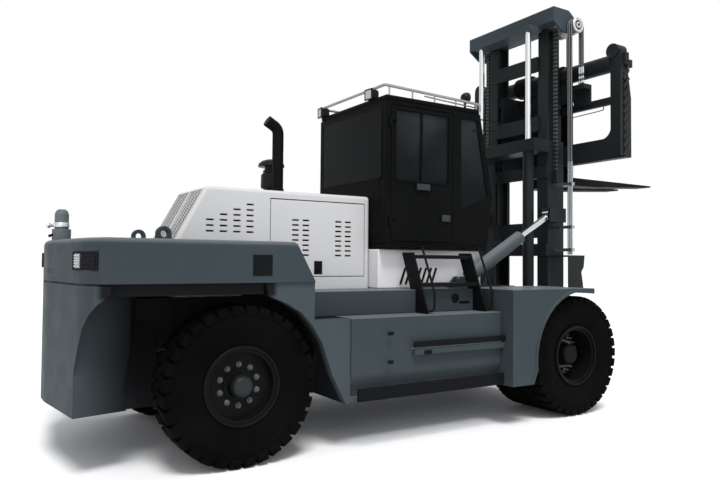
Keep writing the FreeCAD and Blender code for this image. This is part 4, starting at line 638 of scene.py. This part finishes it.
rear_axle, rear_track, inner_track, outer_track = ax - 4.05, 1.1025, 0.7975, 1.2225
hands = ((-1, "right"), (1, "left"))
for side, name in hands:
    rear = lugged_tyre((rear_axle, side * rear_track, tread), tyre_half, rear_lugs)
    rear = piece("rear_tyre_finished_" + name, rear, rubber, "rear_wheel_" + name)
    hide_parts("rear_tyre_" + name)
    twins = [lugged_tyre((ax, side * track, tread), tyre_half, front_lugs) for track in (inner_track, outer_track)]
    front = piece("front_tyres_finished_" + name, merged(*twins), rubber, "front_wheels_" + name)
    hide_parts("front_tyres_" + name)

# ---- Wheels
# Pressed steel rims in black, each with a lock ring and a ring of bright-tipped nuts. The front hubs hold the final
# gears under a bolted cap, and the rear ones end in a small pressed cap.
rim_black = coat("rim_black", (0.0050, 0.0053, 0.0055), 0.4, clouding=0.2, rubbed=0.3, mirror=0.05)
hub_grey = coat("hub_grey", (0.020, 0.023, 0.025), 0.38, clouding=0.2, rubbed=0.4, mirror=0.15)
finish(rim_black, "front_wheel_right", "front_wheel_left", "rear_wheel_right", "rear_wheel_left")


def bolt(radius, height):
    """A six-sided head on a washer that points out along the axle."""
    head = [(0, 1), (0.8, 1), (1, 0.8), (1, 0), (0, 0)]
    washer = [(0, 0.18), (1.35, 0.18), (1.4, 0), (0, 0)]
    stud = [(0, 1.5), (0.42, 1.5), (0.45, 0.9), (0, 0.9)]
    return merged(*(turned([(radius * out, height * up) for out, up in line], (0, 0, 0), "Y", steps)
                    for line, steps in ((head, 6), (washer, 12), (stud, 10))))


def ring_of(part, count, radius, centre, face, material):
    """Copies of a part around a wheel's centre, on a face turned to one side."""
    part = placed(part.copy(), Matrix.Translation((0, 0, radius)))
    if face < 0:
        part = placed(part, Matrix.Scale(-1, 4, (0, 1, 0)))
    return placed(repeated(part, material, count, turn=(0, math.tau / count, 0)), Matrix.Translation(centre))


nut_steel = coat("nut_steel", (0.10, 0.105, 0.11), 0.35, clouding=0.3, rubbed=0.5, metal=0.5)
stud_steel = coat("plated_stud", (0.33, 0.36, 0.38), 0.3, clouding=0.3, rubbed=0.3, metal=0.8)
rear_disc, cap_bolt_face, stud_face = 1.1625, 1.1775, 1.1075
cap_line = [(0, 1.277), (0.060, 1.276), (0.068, 1.271), (0.074, 1.264), (0.079, 1.269), (0.084, 1.267), (0.086, 1.255),
            (0, 1.255)]
rear_lock = [(0.318, 1.262), (0.332, 1.268), (0.342, 1.262), (0.344, 1.250), (0.330, 1.246), (0.316, 1.250)]
front_lock = [(0.318, 1.388), (0.332, 1.394), (0.342, 1.388), (0.344, 1.372), (0.330, 1.366), (0.316, 1.370)]
for side, name in hands:
    body = "rear_wheel_" + name
    nuts = ring_of(bolt(0.019, 0.024), 10, 0.175, (rear_axle, side * rear_disc, tread), side, nut_steel)
    piece("rear_nuts_" + name, nuts, nut_steel, body)
    hub_cap = turned([(radius, side * along) for radius, along in cap_line], (rear_axle, 0, tread), "Y")
    piece("rear_hub_cap_" + name, hub_cap, hub_grey, body)
    lock = turned([(radius, side * along) for radius, along in rear_lock], (rear_axle, 0, tread), "Y", 72, ring=True)
    piece("rear_lock_ring_" + name, lock, rim_black, body)
    body = "front_wheels_" + name
    nuts = ring_of(bolt(0.013, 0.048), 24, 0.236, (ax, side * stud_face, tread), side, stud_steel)
    piece("front_nuts_" + name, nuts, stud_steel, body)
    cap_bolts = ring_of(bolt(0.010, 0.012), 24, 0.153, (ax, side * cap_bolt_face, tread), side, nut_steel)
    piece("front_hub_bolts_" + name, cap_bolts, stud_steel, body)
    lock = turned([(radius, side * along) for radius, along in front_lock], (ax, 0, tread), "Y", 72, ring=True)
    piece("front_lock_ring_" + name, lock, rim_black, body)

# ---- Cab base
# A box of sheet steel in white that carries the cab and is bolted to the frame. Each side has a row of slanted louvres
# in black.
# Painted light: the hood's white made brighter here, to lift the shade under the cab.
base_white = coat("base_white", (0.76, 0.755, 0.765), 0.4, clouding=0.02, rubbed=0, peel=0.03, mirror=0.06)
dressed("cab_base", 0.012, base_white)
slant, louvre_gap = math.radians(21), 0.0725
louvre = placed(eased(block((-0.012, -0.010, -0.098), (0.012, 0.010, 0.098)), 0.005), Matrix.Rotation(slant, 4, "Y"))
louvres = repeated(louvre, black_paint, 7, (ax - 1.915, -0.602, 1.593), (louvre_gap, 0, 0))
piece("cab_base_louvres", across(louvres), black_paint, "chassis")

# ---- Cab
# A welded steel cab in gloss black, with a rounded roof, doors on lift-off hinges and panes of tinted safety glass held
# by rubber gaskets.
cab_black = coat("cab_gloss_black", (0.0054, 0.0057, 0.0059), 0.2, clouding=0.15, peel=0.02, rubbed=0.10,
                 mirror=0.015)
for node, radius in (("cab_floor", 0.012), ("cab_rear_wall", 0.006), ("cab_front_wall", 0.008),
                     ("cab_side_walls", 0.004), ("cab_roof", 0.024), ("cab_door_right", 0.005),
                     ("cab_door_left", 0.005)):
    dressed(node, radius, cab_black)


def tinted_glass(name, sky):
    """Dark glass with a painted reflection of the sky in its colour, paler towards its top and in patches, that lets a
    little of the inside through.
    """
    material = bpy.data.materials.new(name)
    material.use_nodes = True
    tree = material.node_tree
    add, link = tree.nodes.new, tree.links.new
    shine = tree.nodes["Principled BSDF"]
    painted_sky_share = maths(tree, "MULTIPLY", spread(tree, axes(tree)[2], 2.6, 3.35, 0.1, 1),
                   spread(tree, noise(tree, 1.6, 4), 0.3, 0.65, 0.1, 1))
    link(blended(tree, painted_sky_share, (0.010, 0.0125, 0.0135), sky), shine.inputs["Base Color"])
    shine.inputs["Specular IOR Level"].default_value = 0.06
    link(spread(tree, noise(tree, 3, 4), 0.3, 0.7, 0.02, 0.09), shine.inputs["Roughness"])
    film = add("ShaderNodeBump")
    film.inputs["Strength"].default_value = 0.03
    film.inputs["Distance"].default_value = 0.004
    link(noise(tree, 2.2, 2), film.inputs["Height"])
    link(film.outputs[0], shine.inputs["Normal"])
    through, facing, pane = (add("ShaderNode" + kind) for kind in ("BsdfTransparent", "LayerWeight", "MixShader"))
    through.inputs[0].default_value = (0.16, 0.20, 0.21, 1)
    facing.inputs["Blend"].default_value = 0.35
    link(spread(tree, facing.outputs["Facing"], 0.0, 0.9, 0.45, 0.95), pane.inputs[0])
    link(through.outputs[0], pane.inputs[1])
    link(shine.outputs[0], pane.inputs[2])
    link(pane.outputs[0], tree.nodes["Material Output"].inputs["Surface"])
    return material


# The sky colour is a painted reflection: blue-grey on the side and door panes, near black on the rear pane.
glass = tinted_glass("tinted_glass", (0.046, 0.056, 0.062))
rear_glass = tinted_glass("dark_tinted_glass", (0.006, 0.007, 0.0075))
finish(glass, "cab_glass", "cab_door_glass_right", "cab_door_glass_left")
handle_grey = coat("handle_grey", (0.035, 0.04, 0.044), 0.4, metal=0.3)
gasket_rubber = coat("gasket_rubber", (0.0055, 0.0058, 0.006), 0.5, rubbed=0, mirror=0.03)


def tube(points, radius):
    """A bent bar or hose of round section along a line of points."""
    curve = bpy.data.curves.new("line", "CURVE")
    curve.dimensions = "3D"
    curve.bevel_depth = radius
    curve.bevel_resolution = 3
    curve.use_fill_caps = True
    line = curve.splines.new("NURBS")
    line.points.add(len(points) - 1)
    for spot, place in zip(line.points, points):
        spot.co = (*place, 1)
    line.order_u = 3
    line.use_endpoint_u = True
    curve.resolution_u = 6
    shape = bmesh.new()
    shape.from_mesh(taken(stood(curve)))
    bmesh.ops.remove_doubles(shape, verts=shape.verts, dist=0.00005)
    return meshed(shape, outward=True)


def rounded_loop(middle, sideways, up, corner):
    """Points round a rectangle with soft corners, from its middle and its two half sides."""
    middle, u, v = Vector(middle), Vector(sideways), Vector(up)
    to_right, to_top = u.normalized() * corner, v.normalized() * corner
    points = []
    for a, b, before, after in ((-1, -1, to_top, to_right), (1, -1, -to_right, to_top), (1, 1, -to_top, -to_right),
                                (-1, 1, to_right, -to_top)):
        spot = middle + a * u + b * v
        points += [spot + before, spot, spot + after]
    return points + points[:1]


rear_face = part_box("cab_rear_wall")[0].x
rear_gasket = tube(rounded_loop((rear_face - 0.003, 0, 3.042), (0, 0.645, 0), (0, 0, 0.388), 0.05), 0.009)
piece("cab_rear_gasket", rear_gasket, gasket_rubber, "chassis")
pane = eased(block((rear_face - 0.006, -0.642, 2.657), (rear_face - 0.001, 0.642, 3.427)), 0.002)
piece("cab_rear_pane", pane, rear_glass, "chassis")
panel = eased(block((rear_face - 0.005, -0.61, 2.05), (rear_face + 0.004, 0.61, 2.655)), 0.002)
piece("cab_rear_panel", panel, cab_black, "chassis")
for side, name in hands:
    body = nodes["cab_door_" + name]["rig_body"]
    door_gasket = tube(rounded_loop((ax - 1.735, side * 0.726, 3.02), (0.372, 0, 0), (0, 0, 0.392), 0.06), 0.008)
    mullion = eased(block((ax - 1.765, side * 0.722 - 0.010, 2.63), (ax - 1.741, side * 0.722 + 0.010, 3.40)), 0.004)
    piece("door_gasket_" + name, merged(door_gasket, mullion), gasket_rubber, body)
    handle = eased(block((ax - 1.84, side * 0.752 - 0.012, 2.54), (ax - 1.66, side * 0.752 + 0.012, 2.61)), 0.008)
    latch = eased(block((ax - 1.486, side * 0.748 - 0.010, 2.206), (ax - 1.365, side * 0.748 + 0.010, 2.281)), 0.008)
    piece("door_handle_" + name, merged(handle, latch), handle_grey, body)

# ---- Cab roof rail and lamps
# A rail of bent steel tube on short posts around the roof, with work lamps at its rear, one lamp at the front, and
# bent brackets for the mirrors beside the front wall.
rail_grey = coat("rail_grey", (0.30, 0.31, 0.32), 0.35, clouding=0.2, rubbed=0.3, metal=0.4)
lamp_glass = coat("lamp_glass", (0.45, 0.47, 0.48), 0.12, rubbed=0, peel=0.3, grit=40)
west, east, out, rail_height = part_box("roof_rail_and_lamps")[0].x + 0.078, ax - 0.878, 0.705, 3.654
rail_tube, lower_tube, post_tube = 0.016, 0.008, 0.009
hoops = [tube([(west, -out + 0.05, rail_height), (west, 0, rail_height), (west, out - 0.05, rail_height)], rail_tube)]
for side in (-1, 1):
    hoops.append(tube([(west, side * (out - 0.06), rail_height), (west, side * (out - 0.004), rail_height),
                       (west + 0.004, side * out, rail_height), (west + 0.06, side * out, 3.653),
                       (east - 0.1, side * out, 3.620), (east - 0.02, side * out, 3.615), (east, side * out, 3.600),
                       (east, side * out, 3.54)], rail_tube))
    hoops.append(tube([(west + 0.55, side * (out - 0.012), 3.606), (west + 0.9, side * (out - 0.03), 3.594),
                       (east - 0.01, side * (out - 0.03), 3.580)], lower_tube))
    for i in range(5):
        foot_x = west + 0.06 + i * (east - west - 0.12) / 4
        hoops.append(tube([(foot_x, side * out, z) for z in (3.52, 3.58, 3.64 - 0.02 * i / 4)], post_tube))
housings, glasses, bezels = [], [], []
for lamp_y, turn in ((-0.43, 186), (0.675, 172)):
    aim = Matrix.Translation((west - 0.005, lamp_y, 3.598)) @ Matrix.Rotation(math.radians(turn), 4, "Z")
    housing = worked(block((-0.085, -0.062, -0.060), (0.028, 0.062, 0.060)), "BEVEL", width=0.03, segments=4,
                     limit_method="ANGLE")
    ring = carved(eased(block((0.018, -0.066, -0.063), (0.036, 0.066, 0.063)), 0.006),
                  block((0.0, -0.053, -0.050), (0.06, 0.053, 0.050)))
    housings += [placed(housing, aim), block((west + 0.03, lamp_y - 0.012, 3.52), (west + 0.06, lamp_y + 0.012, 3.56))]
    bezels.append(placed(ring, aim))
    glasses.append(placed(eased(block((0.02, -0.054, -0.051), (0.031, 0.054, 0.051)), 0.004), aim))
bowl = [(0, -0.07), (0.045, -0.062), (0.064, -0.03), (0.068, 0.0), (0.062, 0.010), (0, 0.012)]
head = turned(bowl, (ax - 0.90, -0.50, 3.735), "X", 32)
housings += [head, tube([(ax - 0.93, -0.5, 3.53), (ax - 0.93, -0.5, 3.6), (ax - 0.93, -0.5, 3.70)], 0.014),
             eased(block((ax - 0.955, -0.53, 3.53), (ax - 0.905, -0.47, 3.55)), 0.003)]
rail = piece("roof_rail_finished", merged(*hoops), rail_grey, "chassis")
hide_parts("roof_rail_and_lamps")
piece("work_lamp_housings", merged(*housings), cleaner_black, "chassis")
piece("work_lamp_bezels", merged(*bezels), cleaner_black, "chassis")
piece("work_lamp_glasses", merged(*glasses), lamp_glass, "chassis")
upper = [(-1.02, -0.70, 3.44), (-0.85, -0.78, 3.42), (-0.72, -0.86, 3.40), (-0.70, -0.87, 3.36), (-0.70, -0.87, 3.28)]
lower = [(-1.0, -0.70, 3.30), (-0.85, -0.78, 3.30), (-0.70, -0.87, 3.30)]
arms = [tube([(ax + x, y, z) for x, y, z in line], radius) for line, radius in ((upper, 0.007), (lower, 0.006))]
piece("mirror_brackets", across(merged(*arms)), black_paint, "chassis")

# ---- Driver's place
# A padded seat on a pedestal, behind a column with a moulded wheel. Its cushion and back are foam in a cloth cover with
# a welt round the edge.
seat_cloth = coat("seat_cloth", (0.018, 0.018, 0.020), 0.9, clouding=0.2, peel=0.4, grit=600, rubbed=0)
finish(black_paint, "seat_base", "steering_column")


def cushion(low, high, slack):
    """A foam pad in a sewn cover: a smaller block is blown up under cloth, with each point's way kept short."""
    low, high = Vector(low), Vector(high)
    inset = Vector((slack, slack, slack))
    shape = eased(block(tuple(low + inset), tuple(high - inset)), 0.025, segments=3)
    shape = worked(shape, "REMESH", mode="VOXEL", voxel_size=0.006)
    blank = stood(shape)
    cloth = blank.modifiers.new("cover", "CLOTH")
    cloth.settings.use_pressure = True
    cloth.settings.uniform_pressure_force = 4
    cloth.settings.effector_weights.gravity = 0
    steps = 20
    cloth.point_cache.frame_start, cloth.point_cache.frame_end = 1, steps
    for step in range(1, steps + 1):
        scene.frame_set(step)
        bpy.context.view_layer.update()
    blown = taken(blank)
    for start, end in zip(shape.vertices, blown.vertices):
        move = end.co - start.co
        if move.length > slack * 1.1:
            end.co = start.co + move.normalized() * slack * 1.1
        end.co = Vector(max(a, min(b, value)) for a, b, value in zip(low, high, end.co))
    scene.frame_set(1)
    return worked(blown, "SUBSURF", levels=1, render_levels=1)


slack = 0.022
squab = cushion((ax - 2.08, -0.25, 2.245), (ax - 1.60, 0.25, 2.40), slack)
squab = piece("seat_squab", squab, seat_cloth, "chassis")
back = cushion((ax - 2.08, -0.24, 2.40), (ax - 1.93, 0.24, 2.965), slack)
back = piece("seat_back", back, seat_cloth, "chassis")
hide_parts("driver_seat")
welts = [tube(rounded_loop((ax - 1.84, 0, 2.375), (0.215, 0, 0), (0, 0.225, 0), 0.05), 0.005),
         tube(rounded_loop((ax - 1.948, 0, 2.685), (0, 0.215, 0), (0, 0, 0.255), 0.05), 0.005)]
piece("seat_welts", merged(*welts), seat_cloth, "chassis")

# ---- Steps and handrails
# Black steel steps between side plates, with handrails of bent tube, bolted to the decks. The side tanks have catches,
# a step bar and a dark sill, and the deck's edge has a round cover.
dressed("side_steps", 0.0025, black_paint)
catches = [eased(block((ax - 2.63, -1.368, z), (ax - 2.57, -1.352, z + 0.035)), 0.004) for z in (1.05, 0.78)]
catches.append(eased(block((ax - 2.325, -1.372, 0.915), (ax - 1.045, -1.350, 0.975)), 0.006))
catches.append(eased(block((ax - 2.20, -1.364, 0.84), (ax - 2.10, -1.350, 0.885)), 0.006))
catches.append(block((ax - 2.96, -1.3615, 0.455), (ax - 1.13, -1.340, 0.575)))
piece("tank_catches", across(merged(*catches)), black_paint, "chassis")
lid = [(0, -1.008), (0.045, -1.007), (0.052, -1.003), (0.054, -0.996), (0, -0.996)]
cover = turned(lid, (ax - 1.50, 0, 1.36), "Y", 32)
# A thin black strip beside the cover stands for the shade in a gap: painted shade.
gap_shade_strip = eased(block((ax - 1.44, -1.004, 1.30), (ax - 1.30, -0.998, 1.33)), 0.002)
piece("side_deck_cover", across(merged(cover, gap_shade_strip)), black_paint, "chassis")

# ---- Mast
# Outer uprights of rolled channel with a smaller pair sliding inside, welded to crossbeams, and a crosshead on top that
# the lift rods push up. The carriage runs between them.
mast_black = coat("mast_black", (0.0155, 0.018, 0.0195), 0.36, clouding=0.15, rubbed=0.3, mirror=0.08)
for node, radius in (("outer_mast", 0.004), ("inner_mast", 0.004), ("carriage_frame", 0.005)):
    dressed(node, radius, mast_black)
crosshead_paint = coat("crosshead_paint", (0.045, 0.058, 0.066), 0.36, clouding=0.1, rubbed=0.3, mirror=0.04)
dressed("crosshead", 0.010, crosshead_paint)

# ---- Forks
# Two forged forks with a dull black finish, worn pale along their edges, each hung on the carriage's shaft, along which
# it slides.
fork_black = coat("fork_black", (0.0075, 0.0078, 0.008), 0.5, clouding=0.2, rubbed=0.4, mirror=0.03)
for node in ("fork_right", "fork_left"):
    dressed(node, 0.004, fork_black)

# ---- Cylinders, brackets and rods
# Lift cylinders of steel tube stand behind the uprights in the mast's colour. The brackets of the tilt cylinders are
# welded plate in the body colour, and all rods are ground and hard chromed.
finish(mast_black, "lift_cylinders")
finish(body_paint, "tilt_brackets")
chrome = coat("hard_chrome", (0.62, 0.63, 0.64), 0.14, clouding=0.03, rubbed=0, peel=0.01, metal=1.0)
finish(chrome, "lift_rods", "tilt_rods")

# ---- Chains
# Leaf chains of oiled steel plates on pins, from the outer mast over the sheaves to the carriage. The pins show as
# paler bars along them.
chain_steel = coat("chain_steel", (0.012, 0.013, 0.013), 0.4, clouding=0.4, rubbed=0.6, peel=0.5, grit=90, metal=0.3)
link_pitch = 0.052
tree, colour, tone = opened(chain_steel)
pins = maths(tree, "SINE", maths(tree, "MULTIPLY", axes(tree)[2], math.tau / link_pitch))
tree.links.new(blended(tree, spread(tree, pins, -0.2, 0.5, 0, 1), tone, (0.075, 0.08, 0.08)), colour)
finish(chain_steel, "lift_chains_rear", "lift_chains_front")

# ---- Sheaves
# Turned steel sheaves on pins in the crosshead. The outer one on the right has a bright rim and hub, with painted shade
# between them: black discs on its web and in its bore.
sheave_steel = coat("sheave_steel", (0.30, 0.31, 0.32), 0.35, clouding=0.2, rubbed=0.2, metal=0.6)
finish(sheave_steel, "mast_sheaves")
head_body = nodes["mast_sheaves"]["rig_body"]
pin = (ax + 0.64, 0, 4.82)
sheave = [turned([(0.060, -0.895), (0.062, -0.900), (0.090, -0.903), (0.097, -0.897), (0.097, -0.892), (0.060, -0.892)],
                 pin, "Y", 40, ring=True),
          turned([(0.020, -0.893), (0.020, -0.906), (0.040, -0.907), (0.044, -0.893)], pin, "Y", 32, ring=True)]
piece("sheave_trim", merged(*sheave), bright, head_body)
# Black discs in the bore and on the web stand for the shade there: painted shade.
bore = turned([(0, -0.897), (0.019, -0.897), (0.0195, -0.892), (0, -0.892)], pin, "Y", 24)
web = turned([(0.045, -0.8965), (0.059, -0.8965), (0.059, -0.893), (0.045, -0.893)], pin, "Y", 32, ring=True)
piece("sheave_shadow", merged(bore, web), black_paint, head_body)

# ---- Hoses and pipes
# Black rubber hoses laid side by side, each with a painted highlight along its middle and bright sleeves crimped on at
# its upper end, and bent pipes of plated steel that feed them.
hose_pitch = 0.028
hose_black = coat("hose_black", (0.014, 0.014, 0.014), 0.5, rubbed=0, peel=0.2, grit=300)
# Painted highlight: a pale stripe along the middle of each hose, spaced at the hose pitch.
tree, colour, tone = opened(hose_black)
first_hose = 0.884 / hose_pitch * math.tau
painted_hose_highlight = maths(tree, "COSINE", maths(tree, "MULTIPLY_ADD", axes(tree)[1], math.tau / hose_pitch, first_hose))
tree.links.new(blended(tree, spread(tree, painted_hose_highlight, 0.80, 0.95, 0, 1), tone, (0.30, 0.31, 0.32)), colour)
finish(hose_black, "mast_hoses_rear", "mast_hoses_front")
pipe_steel = coat("plated_pipe", (0.38, 0.40, 0.41), 0.25, clouding=0.1, rubbed=0.1, metal=0.9)
finish(pipe_steel, "mast_pipes")
low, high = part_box("mast_hoses_front")
fittings, rim = [], 0.006
for i in range(3):
    hose = ((low.x + high.x) / 2, low.y + 0.011 + i * hose_pitch, 0)
    for z, tall, wide in ((4.215, 0.085, 0.0165), (4.15, 0.03, 0.0155), (4.09, 0.03, 0.016)):
        sleeve = [(0, z), (wide * 0.8, z), (wide, z + rim), (wide, z + tall - rim), (wide * 0.8, z + tall),
                  (0, z + tall)]
        fittings.append(turned(sleeve, hose, "Z", 12))
piece("hose_fittings", merged(*fittings), bright, "carriage")

# ---- Carriage details
# Rounded gussets in the windows' lower corners, slanted wear ribs on the end arms, a stepped hook at each arm's head,
# and a thin stay from the frame to each arm.
arm_in, sill, soft = -1.185, 3.34, 0.14
turns = [math.radians(9 * i) for i in range(1, 11)]
bend = [(arm_in, sill), (arm_in + soft, sill)]
bend += [(arm_in + soft - soft * math.sin(turn), sill + soft - soft * math.cos(turn)) for turn in turns]
gusset = extruded(bend, -(ax + 1.005), -(ax + 0.895), start=0)
gusset = worked(placed(gusset, Matrix.Rotation(math.radians(90), 4, "Z")), "TRIANGULATE")
rib_slant, rib_gap = math.radians(38), 0.105
rib = placed(eased(block((-0.018, -0.010, -0.085), (0.018, 0.010, 0.085)), 0.006), Matrix.Rotation(rib_slant, 4, "Y"))
ribs = repeated(rib, mast_black, 10, (ax + 0.915, -1.399, 3.16), (0, 0, rib_gap))
strap = eased(block((ax + 0.79, -1.406, 3.09), (ax + 0.835, -1.395, 4.15)), 0.004)
hook = [eased(block((ax + 0.93, -1.38, 4.24), (ax + 1.005, -1.24, 4.40)), 0.008),
        eased(block((ax + 0.96, -1.39, 4.21), (ax + 1.058, -1.25, 4.31)), 0.008)]
piece("carriage_details", across(merged(gusset, ribs, strap, *hook)), mast_black, "carriage")
line = ((-0.60, 3.70), (-0.90, 3.705), (-1.08, 3.71), (-1.09, 3.72), (-1.09, 3.78))
stay = tube([(ax + 0.885, y, z) for y, z in line], 0.006)
piece("carriage_stays", across(stay), black_paint, "carriage")

# ---- Tilt cylinders
# Turned barrels in the body colour, painted paler overall and on top as painted light, with a gland at the mouth and an
# eye at each end, on pins between the frame's brackets and the mast.
barrel_paint = coat("barrel_paint", (0.062, 0.076, 0.082), 0.34, clouding=0.08, rubbed=0.3, mirror=0.05,
                    painted_top_light=(0.15, 0.16, 0.17))
finish(barrel_paint, "tilt_barrels")

scene.view_settings.view_transform = "Standard"
